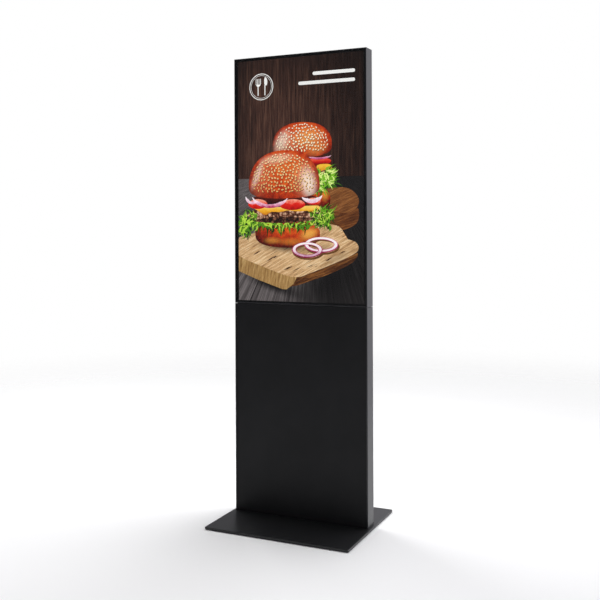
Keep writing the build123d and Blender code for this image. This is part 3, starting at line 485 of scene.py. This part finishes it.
def picture_place(t):
    """The picture's own coordinates in millimetres, as a vector (u, 0, w)."""
    moved = t.vector("SUBTRACT", t.place, (PICTURE_LOW_X, 0.0, PICTURE_LOW_Z))
    return t.vector("MULTIPLY", moved, (1000.0, 0.0, 1000.0))


def length(t, vector):
    return t.put("ShaderNodeVectorMath", {0: vector}, operation="LENGTH").outputs["Value"]


def patch(t, place, cu, cw, ru, rw, turn=0.0, inner=0.1):
    """A soft oval: 1 inside and falling to 0 at its rim."""
    away = t.vector("SUBTRACT", place, (cu, 0.0, cw))
    away = t.scaled(1.0, 1.0, 1.0, (0.0, turn, 0.0), away)
    return t.span(length(t, t.vector("DIVIDE", away, (ru, 1.0, rw))), 1.0, inner)


def shaded(t, colour, light):
    grey = t.put("ShaderNodeCombineXYZ", {0: light, 1: light, 2: light}).outputs[0]
    return t.blend(1.0, colour, grey, "MULTIPLY")


def streaks(t, place, coarse, fine, share):
    """Wood grain tone from a broad and a fine streak pattern."""
    broad = t.noise(1.0, 6.0, 0.62, t.vector("MULTIPLY", place, coarse), 0.5)
    thin = t.noise(1.0, 4.0, 0.65, t.vector("MULTIPLY", place, fine))
    return t.total(t.product(broad, 1.0 - share), t.product(thin, share))


def wall_material():
    """Dark upright planks, lit a little left of the middle."""
    t = Tree("picture_wall")
    p = picture_place(t)
    u, w = t.axis("X", p), t.axis("Z", p)
    tone = streaks(t, p, (0.10, 0.0, 0.0065), (0.55, 0.0, 0.012), 0.4)
    wood = t.ramp(tone, (0.34, rgb(27, 15, 12)), (0.50, rgb(68, 43, 35)), (0.68, rgb(116, 82, 66)))
    plank = t.math("FRACT", t.math("DIVIDE", t.total(u, 38.0), 96.0))
    gap = t.span(t.math("ABSOLUTE", t.math("SUBTRACT", plank, 0.5)), 0.480, 0.5)
    light = t.product(t.span(u, 150.0, 520.0, 1.0, 0.32), t.span(w, 980.0, 640.0, 0.45, 1.0))
    light = t.product(light, t.span(u, -60.0, 110.0, 0.35, 1.0))
    return t.glow(t.blend(t.product(gap, 0.85), shaded(t, wood, light), rgb(8, 5, 4)))


def table_material():
    """Grey planks running back into the picture, dark to the right and beside the board."""
    t = Tree("picture_table")
    p = picture_place(t)
    u, w = t.axis("X", p), t.axis("Z", p)
    depth = t.math("DIVIDE", 520.0, t.math("SUBTRACT", 580.0, w))
    across = t.product(t.math("SUBTRACT", u, 330.0), depth)
    where = t.put("ShaderNodeCombineXYZ", {0: across, 2: t.product(depth, 400.0)}).outputs[0]
    tone = streaks(t, where, (0.11, 0.0, 0.006), (0.6, 0.0, 0.012), 0.4)
    wood = t.ramp(tone, (0.32, rgb(36, 32, 32)), (0.50, rgb(88, 82, 82)), (0.70, rgb(152, 144, 144)))
    plank = t.math("FRACT", t.math("DIVIDE", t.total(across, 4000.0), 150.0))
    gap = t.span(t.math("ABSOLUTE", t.math("SUBTRACT", plank, 0.5)), 0.475, 0.5)
    light = t.span(u, 110.0, 390.0, 1.0, 0.10)
    for cu, cw, ru, rw, turn, dark in ((150, 62, 170, 34, -0.30, 0.92), (70, 330, 110, 60, 0.1, 0.45),
                                       (370, 80, 210, 90, 0.4, 0.5)):
        shade = t.product(patch(t, p, cu, cw, ru, rw, turn), dark)
        light = t.product(light, t.math("SUBTRACT", 1.0, shade))
    return t.glow(t.blend(t.product(gap, 0.85), shaded(t, wood, light), rgb(12, 9, 9)))


def plank_material(name, colours, turn, shade=()):
    """Oiled board wood with streaks along one direction and dark checks."""
    t = Tree(name)
    p = picture_place(t)
    along = t.scaled(1.0, 1.0, 1.0, (0.0, turn, 0.0), p)
    tone = streaks(t, along, (0.010, 0.0, 0.13), (0.035, 0.0, 0.75), 0.45)
    wood = t.ramp(tone, *zip((0.34, 0.50, 0.66), colours))
    cracks = t.noise(1.0, 2.0, 0.5, t.vector("MULTIPLY", along, (0.016, 0.0, 0.30)))
    wood = t.blend(t.product(t.span(cracks, 0.65, 0.70), 0.8), wood, rgb(58, 32, 16))
    for cu, cw, ru, rw, aim, amount in shade:
        shadow = t.product(patch(t, p, cu, cw, ru, rw, aim, 0.0), amount)
        wood = t.blend(shadow, wood, rgb(26, 13, 8))
    return t.glow(wood)


CRUST = ((0.00, rgb(74, 14, 8)), (0.20, rgb(138, 34, 12)), (0.38, rgb(190, 56, 16)),
         (0.58, rgb(222, 92, 27)), (0.85, rgb(246, 156, 70)))


def crust_material(name, cu, cw, ru, up, lean, lights):
    """A baked, egg-glazed crust: bright on top, dark at its rim, with soft window lights."""
    t = Tree(name)
    p = picture_place(t)
    q = t.vector("DIVIDE", t.vector("SUBTRACT", p, (cu, 0.0, cw)), (ru, 1.0, up))
    x, z, far = t.axis("X", q), t.axis("Z", q), length(t, q)
    mottle = t.noise(1.0, 5.0, 0.6, t.vector("MULTIPLY", p, (0.040, 0.0, 0.040)), 0.5)
    crisp = t.noise(1.0, 3.0, 0.65, t.vector("MULTIPLY", p, (0.24, 0.0, 0.24)))
    bulge = t.math("SQRT", t.math("MAXIMUM", t.math("SUBTRACT", 1.05, t.product(far, far)), 0.0))
    tone = t.total(t.product(bulge, 0.42), t.product(z, 0.34))
    tone = t.total(tone, t.product(x, lean))
    tone = t.total(tone, t.product(t.math("SUBTRACT", mottle, 0.5), 0.85))
    tone = t.total(tone, t.product(t.math("SUBTRACT", crisp, 0.5), 0.45))
    crust = t.ramp(tone, *CRUST)
    for lu, lw, lru, lrw, turn, amount, colour in lights:
        soft = t.product(patch(t, p, lu, lw, lru, lrw, turn), amount)
        crust = t.blend(t.product(soft, t.span(crisp, 0.25, 0.55, 0.62, 1.0)), crust, colour)
    return t.glow(crust)


def crumbly(name, colours, scale):
    """Chopped meat: rounded crumbs with dark gaps between them."""
    t = Tree(name)
    p = t.vector("MULTIPLY", picture_place(t), (scale, 0.0, scale))
    gaps = t.cells(1.0, p)
    each = t.axis("X", t.cells(1.0, p, "Color"))
    fine = t.noise(2.2, 4.0, 0.65, p)
    tone = t.math("SUBTRACT", t.total(t.product(each, 0.55), t.product(fine, 0.75)),
                  t.product(gaps, 0.55))
    return t.glow(t.ramp(tone, *zip((0.10, 0.36, 0.66), colours)))


def toned(name, colours, scale, low, high, cloud=0.9):
    """Colours that run from the first to the last as w goes from low to high, broken up by soft noise."""
    t = Tree(name)
    p = picture_place(t)
    noise = t.noise(1.0, 4.0, 0.6, t.vector("MULTIPLY", p, (scale, 0.0, scale)))
    broken = t.product(t.math("SUBTRACT", noise, 0.5), cloud)
    mixed = t.total(t.span(t.axis("Z", p), low, high), broken)
    return t.glow(t.ramp(mixed, *[(i / (len(colours) - 1), colour) for i, colour in enumerate(colours)]))


# ------------------------------------------------------------------ seeds and leaves
def seeds(cu, cw, ru, up, count, size, seed, bare=()):
    """Teardrop seed outlines scattered over a dome and thinner towards its rim, with their shadows."""
    chance = random.Random(seed)
    placed, found, shadows = [], [], []
    for _ in range(count * 40):
        if len(found) == count:
            break
        a, r = chance.uniform(0, 2 * math.pi), math.sqrt(chance.uniform(0, 0.92))
        x, y = r * math.cos(a), r * math.sin(a)
        if y < -0.60 or (y < -0.25 and chance.random() < 0.45):
            continue
        u, w = cu + ru * x, cw + up * y * (1.0 if y > 0 else 0.42)
        if any(math.hypot(u - u2, w - w2) < size * 1.1 for u2, w2 in placed):
            continue
        if any(math.hypot((u - bu) / bru, (w - bw) / brw) < 1 and chance.random() < 0.6
               for bu, bw, bru, brw in bare):
            continue
        placed.append((u, w))
        turn = a + math.pi / 2 + chance.uniform(-0.9, 0.9) if r > 0.6 else chance.uniform(0, math.pi)
        long = 0.5 * size * chance.uniform(0.8, 1.2)
        wide = 0.5 * size * 0.62 * max(math.sqrt(1 - r * r), 0.6)
        outline, shade = [], []
        for i in range(12):
            b = 2 * math.pi * i / 12
            px, py = long * math.cos(b), wide * math.sin(b) * (1.15 - 0.45 * math.cos(b))
            du, dw = px * math.cos(turn) - py * math.sin(turn), px * math.sin(turn) + py * math.cos(turn)
            outline.append((u + du, w + dw))
            shade.append((u + du * 1.2 + 0.9, w + dw * 1.2 - 1.4))
        found.append(outline)
        shadows.append(shade)
    return found, shadows


def frond(chance, u, w, aim, size, width):
    """A curly leaf: a tapering, frilled strip along a wandering line."""
    left, right = [], []
    steps = 10
    for i in range(steps + 1):
        k = i / steps
        half = width * (0.30 + 0.70 * math.sin(math.pi * min(k * 1.15, 1.0))) * (1 - 0.60 * k)
        frill = half * (1 + 0.8 * (-1) ** i * chance.uniform(0.3, 1.0))
        nu, nw = -math.sin(aim), math.cos(aim)
        left.append((u + nu * frill, w + nw * frill))
        right.append((u - nu * half * chance.uniform(0.4, 1.5), w - nw * half * chance.uniform(0.4, 1.5)))
        aim += chance.uniform(-0.6, 0.6)
        u += math.cos(aim) * size / steps
        w += math.sin(aim) * size / steps
    return left + right[::-1]


LEAF_SHADES = (
    ("deep", 1.2, 1.15, [rgb(14, 34, 6), rgb(34, 70, 12), rgb(58, 104, 20)]),
    ("mid", 1.0, 1.0, [rgb(52, 98, 16), rgb(94, 152, 28), rgb(128, 186, 44)]),
    ("light", 0.55, 0.8, [rgb(142, 194, 46), rgb(188, 222, 78), rgb(226, 242, 150)]),
)
LEAF_MATERIALS = {
    shade: toned(f"picture_leaf_{shade}", colours, 0.12, 150, 520) for shade, _, _, colours in LEAF_SHADES
}


def salad(name, places, seed, size, layer):
    """Leaves in three greens, sprouting from boxes given as (u0, w0, u1, w1, count, aim, spread)."""
    for i, (shade, share, scale, _) in enumerate(LEAF_SHADES):
        chance = random.Random(seed + i)
        leaves = []
        for u0, w0, u1, w1, count, aim, spread in places:
            for _ in range(max(1, round(count * share))):
                start = (chance.uniform(u0, u1), chance.uniform(w0, w1))
                long = size * scale * chance.uniform(0.6, 1.3)
                lean = aim + chance.uniform(-spread, spread)
                leaves.append(frond(chance, *start, lean, long, size * scale * 0.10))
        flat(f"{name}_{shade}", leaves, layer + i, LEAF_MATERIALS[shade])


# ------------------------------------------------------------------ the picture: two burgers on a board
HORIZON = 478.0
BOARD_SLOPE = 0.42            # radians, the way the near board's grain runs
SEED_PALE = toned("picture_seed", [rgb(226, 172, 100), rgb(252, 226, 166), rgb(255, 248, 224)],
                  0.35, 380, 700)
SEED_SHADE = toned("picture_seed_shade", [rgb(84, 20, 8), rgb(132, 44, 16)], 0.05, 380, 700)


def paint(name, outlines, layer, make_material, *settings):
    """A flat piece with a material of its own."""
    return flat(name, outlines, layer, make_material(name, *settings))


def paint_backdrop():
    flat("picture_wall", [rectangle(0, HORIZON, 530, 942)], 0, wall_material())
    flat("picture_table", [rectangle(0, 0, 530, HORIZON)], 0, table_material())


def paint_rear_board():
    side = [(300, 330), (420, 268), (480, 286), (512, 312), (505, 380), (360, 360)]
    top = [(300, 350), (400, 350), (452, 336), (500, 352), (514, 392), (478, 432), (420, 440), (300, 420)]
    paint("picture_rear_board_side", [rounded(side)], 1, plank_material,
          (rgb(40, 20, 10), rgb(96, 52, 24), rgb(160, 100, 50)), 0.30)
    paint("picture_rear_board", [rounded(top)], 2, plank_material,
          (rgb(60, 30, 14), rgb(126, 76, 38), rgb(188, 128, 72)), 0.38, [(350, 380, 70, 60, 0.0, 0.6)])


def paint_front_board():
    """The near board: its long side, its sawn end, its top with soft shadows, and the cracks in it."""
    side = [(206, 48), (330, 88), (420, 122), (496, 160), (508, 196), (470, 214), (330, 140), (222, 100)]
    end = [(0, 176), (90, 144), (252, 94), (240, 70), (209, 47), (190, 48), (80, 84), (0, 114)]
    top = [(-30, 240), (60, 262), (180, 292), (340, 302), (420, 296), (446, 276), (448, 244), (492, 236),
           (510, 214), (500, 190), (410, 150), (310, 112), (246, 88), (120, 128), (-30, 182)]
    shadows = [(205, 214, 165, 34, -0.05, 0.9), (352, 204, 80, 26, 0.1, 0.45),
               (420, 170, 110, 26, 0.42, 0.35)]
    paint("picture_board_side", [rounded(side, 2)], 3, plank_material,
          (rgb(30, 14, 7), rgb(84, 46, 20), rgb(168, 110, 54)), 0.36)
    paint("picture_board_end", [end], 4, plank_material,
          (rgb(96, 66, 34), rgb(164, 126, 74), rgb(210, 176, 120)), 1.42)
    paint("picture_board", [rounded(top, 2)], 5, plank_material,
          (rgb(120, 72, 36), rgb(212, 171, 122), rgb(250, 226, 186)), 0.48, shadows)
    starts = [(62, 178), (118, 152), (150, 166), (196, 122), (236, 118), (292, 132), (372, 158),
              (430, 188)]
    chance = random.Random(5)
    cracks = []
    for u, w in starts:
        long, wide = chance.uniform(22, 52), chance.uniform(1.6, 3.4)
        rise = math.tan(BOARD_SLOPE + chance.uniform(-0.08, 0.08)) * long
        under = (u + 0.4 * long, w + 0.4 * rise - wide)
        over = (u + 0.5 * long, w + 0.5 * rise + wide)
        cracks.append([(u, w), under, (u + long, w + rise), over])
    paint("picture_board_cracks", cracks, 6, toned, [rgb(44, 22, 10), rgb(84, 50, 26)], 0.05, 100, 240)


def paint_rear_burger():
    cheese = [(330, 524), (388, 528), (404, 516), (392, 494), (376, 508), (352, 496)]
    lights = [(192, 618, 36, 62, -0.5, 0.62, (0.97, 0.86, 0.74)),
              (206, 600, 70, 88, -0.4, 0.24, (0.95, 0.62, 0.36)),
              (300, 630, 84, 52, 0.1, 0.50, rgb(250, 190, 104)),
              (338, 588, 60, 40, 0.3, 0.40, rgb(250, 176, 90))]
    leaves = [(310, 450, 392, 492, 34, 0.2, 1.9), (372, 446, 404, 508, 24, 0.1, 1.5),
              (318, 425, 372, 462, 16, -0.9, 1.2)]
    paint("picture_rear_inside", [oval(338, 520, 66, 46, 0.06, 4)], 7, toned,
          [rgb(30, 10, 6), rgb(78, 26, 12)], 0.03, 480, 560)
    paint("picture_rear_base", [dome(330, 396, 64, 44, 46, 31)], 8, crust_material,
          330, 410, 80, 60, 0.05, [(372, 410, 22, 34, 0.0, 0.5, rgb(244, 178, 70))])
    paint("picture_rear_patty", [oval(326, 486, 74, 20, 0.12, 8)], 9, crumbly,
          (rgb(40, 18, 12), rgb(112, 62, 40), rgb(190, 136, 100)), 0.10)
    paint("picture_rear_tomato", [oval(346, 536, 52, 15, 0.05, 5)], 10, toned,
          [rgb(126, 8, 8), rgb(206, 26, 18), rgb(240, 88, 60)], 0.06, 520, 552)
    paint("picture_rear_cheese", [rounded(cheese, 2)], 11, toned,
          [rgb(214, 130, 20), rgb(250, 200, 60)], 0.05, 490, 526)
    salad("picture_rear_leaf", leaves, 60, 34, 12)
    paint("picture_rear_onion", [band(350, 562, 50, 18, 9, 198, 345)], 15, toned,
          [rgb(150, 20, 74), rgb(214, 110, 156), rgb(244, 210, 226)], 0.08, 540, 560)
    paint("picture_rear_bun", [dome(276, 600, 125, 90, 46, 12)], 16, crust_material,
          276, 594, 128, 96, 0.08, lights)
    found, shadows = seeds(276, 602, 118, 84, 150, 9.0, 40, [(196, 622, 40, 58)])
    flat("picture_rear_seed_shades", shadows, 17, SEED_SHADE)
    flat("picture_rear_seeds", found, 18, SEED_PALE)


def paint_front_base():
    """The lower half of the near bun and the sauce and leaves on it."""
    glaze = [(306, 262, 54, 30, 0.3, 0.75, rgb(250, 190, 84)),
             (150, 236, 50, 18, 0.0, 0.50, rgb(244, 164, 66)),
             (232, 232, 80, 20, 0.0, 0.45, rgb(240, 150, 54))]
    sauce = [(96, 306), (330, 312), (322, 290), (296, 294), (280, 276), (262, 292), (236, 282),
             (222, 294), (190, 280), (168, 292), (120, 286)]
    leaves = [(8, 288, 92, 326, 38, 3.0, 2.2), (330, 300, 392, 345, 44, 0.2, 2.0),
              (80, 292, 340, 308, 56, -0.5, 2.4), (12, 262, 56, 296, 14, -2.0, 1.2)]
    paint("picture_base_bun", [dome(213, 266, 137, 44, 58, 21)], 19, crust_material,
          213, 262, 150, 64, 0.10, glaze)
    paint("picture_sauce", [rounded(sauce, 2)], 20, toned,
          [rgb(50, 6, 6), rgb(124, 14, 12), rgb(180, 44, 26)], 0.08, 270, 312)
    salad("picture_front_leaf", leaves, 80, 36, 21)


def paint_front_filling():
    """Meat, cheese, more leaves, tomato and onion, and the dark under the upper bun."""
    cheese = [(58, 366), (150, 364), (330, 370), (352, 368), (350, 350), (318, 338), (300, 352),
              (262, 346), (214, 354), (180, 344), (150, 352), (118, 330), (92, 350)]
    tomatoes = [oval(236, 374, 54, 21, 0.04, 3), oval(86, 378, 42, 19, 0.05, 6),
                oval(326, 386, 28, 13, 0.05, 9)]
    onions = [band(140, 408, 78, 46, 17, 184, 350), band(318, 412, 44, 34, 18, 196, 352),
              band(62, 404, 30, 26, 12, 170, 330)]
    paint("picture_patty", [oval(204, 336, 158, 32, 0.10, 14, 96)], 24, crumbly,
          (rgb(38, 16, 10), rgb(124, 74, 52), rgb(226, 184, 152)), 0.10)
    paint("picture_patty_shade", [oval(196, 316, 124, 12, 0.2, 15)], 25, crumbly,
          (rgb(16, 7, 5), rgb(60, 30, 20), rgb(132, 86, 62)), 0.10)
    paint("picture_cheese", [rounded(cheese, 2)], 26, toned,
          [rgb(196, 104, 14), rgb(242, 174, 40), rgb(254, 216, 104)], 0.06, 330, 372)
    salad("picture_upper_leaf", [(310, 322, 356, 350, 14, 0.2, 1.4), (52, 322, 88, 342, 10, 2.9, 1.2)],
          95, 28, 27)
    paint("picture_bun_shadow", [oval(199, 396, 142, 22, 0.05, 17)], 30, toned,
          [rgb(34, 8, 6), rgb(92, 26, 14)], 0.06, 370, 420)
    paint("picture_tomatoes", tomatoes, 31, toned,
          [rgb(112, 4, 6), rgb(196, 16, 14), rgb(230, 40, 26), rgb(255, 168, 140)], 0.06, 338, 402)
    paint("picture_onion_slices", onions, 32, toned,
          [rgb(118, 8, 52), rgb(186, 44, 100), rgb(238, 176, 202), rgb(252, 238, 244)], 0.07, 340, 404)


def paint_front_top():
    """The near bun's upper half with its window lights and seeds."""
    lights = [(86, 492, 20, 78, -0.42, 0.70, (0.97, 0.80, 0.68)),
              (104, 480, 58, 112, -0.42, 0.20, (0.90, 0.42, 0.22)),
              (302, 458, 44, 80, 0.20, 1.0, (1.0, 0.91, 0.82)),
              (288, 468, 70, 98, 0.20, 0.34, (0.95, 0.56, 0.30)),
              (170, 552, 92, 26, 0.1, 0.58, (0.99, 0.80, 0.56)),
              (214, 520, 110, 54, 0.0, 0.24, rgb(244, 150, 70))]
    paint("picture_top_bun", [dome(199, 450, 152, 134, 52, 11)], 33, crust_material,
          199, 444, 156, 142, 0.02, lights)
    found, shadows = seeds(199, 456, 144, 122, 190, 9.6, 77, [(82, 474, 30, 80), (298, 462, 42, 66)])
    flat("picture_seed_shades", shadows, 34, SEED_SHADE)
    flat("picture_seeds", found, 35, SEED_PALE)


def paint_rings():
    """Two slices of red onion lying on the board."""
    flesh = toned("picture_ring_flesh", [rgb(196, 132, 164), rgb(246, 224, 234), rgb(255, 250, 252)],
                  0.06, 165, 235)
    skin = toned("picture_ring_skin", [rgb(126, 8, 62), rgb(184, 28, 100), rgb(214, 96, 148)],
                 0.06, 165, 245)
    shadows = ring(361, 212, 71, 30, 13, 0.6) + ring(302, 192, 66, 30, 13, 0.6)
    paint("picture_ring_shades", shadows, 36, plank_material,
          (rgb(60, 34, 16), rgb(104, 66, 34), rgb(140, 96, 56)), 0.48)
    layer = 37
    for name, cu, cw, ru, rw in (("rear", 356, 220, 70, 30), ("front", 298, 200, 64, 30)):
        flat(f"picture_{name}_ring_skin", ring(cu, cw, ru, rw, 7, 0.8), layer, skin)
        middle = ring(cu, cw + 1.5, ru - 3.5, rw - 2.6, 12, 0.62)
        core = ring(cu, cw + 1.5, ru - 15, rw - 9.5, 2.5, 0.7)
        flat(f"picture_{name}_ring_flesh", middle, layer + 1, flesh)
        flat(f"picture_{name}_ring_core", core, layer + 2, skin)
        layer += 3


def paint_marks():
    """Plain marks: a ring round a fork and a knife, and two bars."""
    blade = [(117, 840), (129, 840), (131, 858), (126, 872), (117, 873)]
    marks = ring(104, 836, 52, 52, 3, 1.0) + ring(104, 836, 45, 45, 1.4, 1.0)
    marks += [rectangle(88, 802, 92, 846), [(80, 846), (102, 846), (96, 838), (86, 838)]]
    marks += [rectangle(80 + 6.5 * i, 846, 82.6 + 6.5 * i, 868) for i in range(4)]
    marks += [rectangle(118, 802, 122, 842), rounded(blade, 1)]
    marks += [bar(330, 490, 872, 13), bar(270, 490, 838, 13)]
    paint("picture_marks", marks, 43, toned,
          [rgb(232, 232, 228), rgb(252, 252, 250)], 0.02, 700, 941, 0.3)


paint_backdrop()
paint_rear_board()
paint_front_board()
paint_rear_burger()
paint_front_base()
paint_front_filling()
paint_front_top()
paint_rings()
paint_marks()


# ------------------------------------------------------------------ printed border behind the glass
BORDER_DEPTH = 0.00005        # the ink lies just inside the glass
BORDER_INSET = 0.0006         # and ends just short of its ground edge


def glass_border():
    """The black ink round the picture, on the glass's back face."""
    y = GLASS_HIGH.y - BORDER_DEPTH
    outer = (GLASS_LOW.x + BORDER_INSET, GLASS_LOW.z + BORDER_INSET,
             GLASS_HIGH.x - BORDER_INSET, GLASS_HIGH.z - BORDER_INSET)
    inner = (PICTURE_LOW_X, PICTURE_LOW_Z, -PICTURE_LOW_X, PICTURE_LOW_Z + PICTURE_HEIGHT)
    mesh = bmesh.new()
    rings = []
    for a, b, c, d in (outer, inner):
        rings.append([mesh.verts.new((x, y, z)) for x, z in ((a, b), (c, b), (c, d), (a, d))])
    for i in range(4):
        j = (i + 1) % 4
        mesh.faces.new((rings[0][i], rings[0][j], rings[1][j], rings[1][i]))
    piece = add_object("glass_border", mesh, MATERIALS["ink"])
    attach(piece, "kiosk")


glass_border()


# ------------------------------------------------------------------ stage, light and camera
FLOOR_SOLID = 0.8             # the floor fades from here, in metres from the middle
FLOOR_GONE = 5.0              # and ends here
FLOOR_GAP = 0.0005            # it lies this far under the pads
CAMERA_PLACE = (1.4084, -3.0605, 1.1348)
CAMERA_TILT, CAMERA_ROLL, CAMERA_TURN = 90.0, 0.229, 24.714     # degrees
CAMERA_LENS = 52.62           # millimetres, on a sensor 36 wide
CAMERA_SHIFT = -0.1247        # keeps the uprights upright in the view
STUDIO_TINT = (0.95, 0.94, 1.0)
KEY_SIDE = (0.62, 0.78, 0.0)          # towards the bright half of the sky
FRONT_GLOW = (0.45, -0.90, 0.10)      # towards a weak glow in front


def make_floor():
    mesh = bmesh.new()
    bmesh.ops.create_circle(mesh, cap_ends=True, radius=FLOOR_GONE, segments=96)
    t = Tree("pale_floor")
    colour = t.ramp(t.noise(0.8, 2.0), (0.3, 0.86), (0.7, 0.88))
    alpha = t.span(length(t, t.place), FLOOR_SOLID, FLOOR_GONE, 1.0, 0.0)
    pale = t.surface(Base_Color=colour, Roughness=0.6, Specular_IOR_Level=0.2, Alpha=alpha)
    floor = add_object("floor", mesh, pale)
    floor.location.z = -FLOOR_GAP


def make_world():
    """A soft studio lit from behind right and dim in front, with a backdrop that looks white."""
    world = bpy.data.worlds.new("studio")
    bpy.context.scene.world = world
    world.use_nodes = True
    tree = world.node_tree
    tree.nodes.clear()
    place = tree.nodes.new("ShaderNodeTexCoord").outputs["Generated"]

    def lobe(direction, low, high, to_low, to_high):
        """Brightness that rises from one side of the sky to the other along a direction."""
        dot = tree.nodes.new("ShaderNodeVectorMath")
        dot.operation = "DOT_PRODUCT"
        dot.inputs[1].default_value = Vector(direction).normalized()
        tree.links.new(place, dot.inputs[0])
        ramp = tree.nodes.new("ShaderNodeMapRange")
        ramp.interpolation_type = "SMOOTHSTEP"
        for key, value in zip(("From Min", "From Max", "To Min", "To Max"), (low, high, to_low, to_high)):
            ramp.inputs[key].default_value = value
        tree.links.new(dot.outputs["Value"], ramp.inputs["Value"])
        return ramp.outputs["Result"]

    def background(strength, colour):
        node = tree.nodes.new("ShaderNodeBackground")
        node.inputs["Color"].default_value = (*colour, 1.0)
        if isinstance(strength, float):
            node.inputs["Strength"].default_value = strength
        else:
            tree.links.new(strength, node.inputs["Strength"])
        return node.outputs[0]

    both = tree.nodes.new("ShaderNodeMath")
    both.operation = "ADD"
    tree.links.new(lobe(KEY_SIDE, 0.24, 0.68, 0.12, 1.0), both.inputs[0])
    tree.links.new(lobe(FRONT_GLOW, 0.84, 1.0, 0.0, 0.26), both.inputs[1])
    mix = tree.nodes.new("ShaderNodeMixShader")
    seen = tree.nodes.new("ShaderNodeLightPath").outputs["Is Camera Ray"]
    tree.links.new(seen, mix.inputs[0])
    tree.links.new(background(both.outputs[0], STUDIO_TINT), mix.inputs[1])
    tree.links.new(background(1.0, (1.0, 1.0, 1.0)), mix.inputs[2])
    out = tree.nodes.new("ShaderNodeOutputWorld")
    tree.links.new(mix.outputs[0], out.inputs["Surface"])


def make_light(name, place, target, size, power):
    data = bpy.data.lights.new(name, "AREA")
    data.shape = "RECTANGLE"
    data.size, data.size_y = size
    data.energy = power
    lamp = bpy.data.objects.new(name, data)
    lamp.location = place
    lamp.rotation_euler = (Vector(target) - Vector(place)).to_track_quat("-Z", "Y").to_euler()
    bpy.context.scene.collection.objects.link(lamp)


def make_camera():
    data = bpy.data.cameras.new("camera")
    data.sensor_width = 36.0
    data.lens = CAMERA_LENS
    data.shift_y = CAMERA_SHIFT
    data.clip_start, data.clip_end = 0.05, 200.0
    camera = bpy.data.objects.new("camera", data)
    camera.location = CAMERA_PLACE
    camera.rotation_mode = "XYZ"
    camera.rotation_euler = [math.radians(a) for a in (CAMERA_TILT, CAMERA_ROLL, CAMERA_TURN)]
    bpy.context.scene.collection.objects.link(camera)
    bpy.context.scene.camera = camera


make_floor()
make_world()
make_light("top_soft", (0.6, 1.2, 4.2), (0.0, 0.2, 0.0), (3.0, 3.0), 150.0)
make_light("left_fill", (-2.6, 0.8, 3.6), (-1.4, -0.4, 0.0), (2.5, 2.5), 110.0)
make_camera()
bpy.context.scene.view_settings.view_transform = "Standard"
bpy.context.scene.view_settings.look = "None"
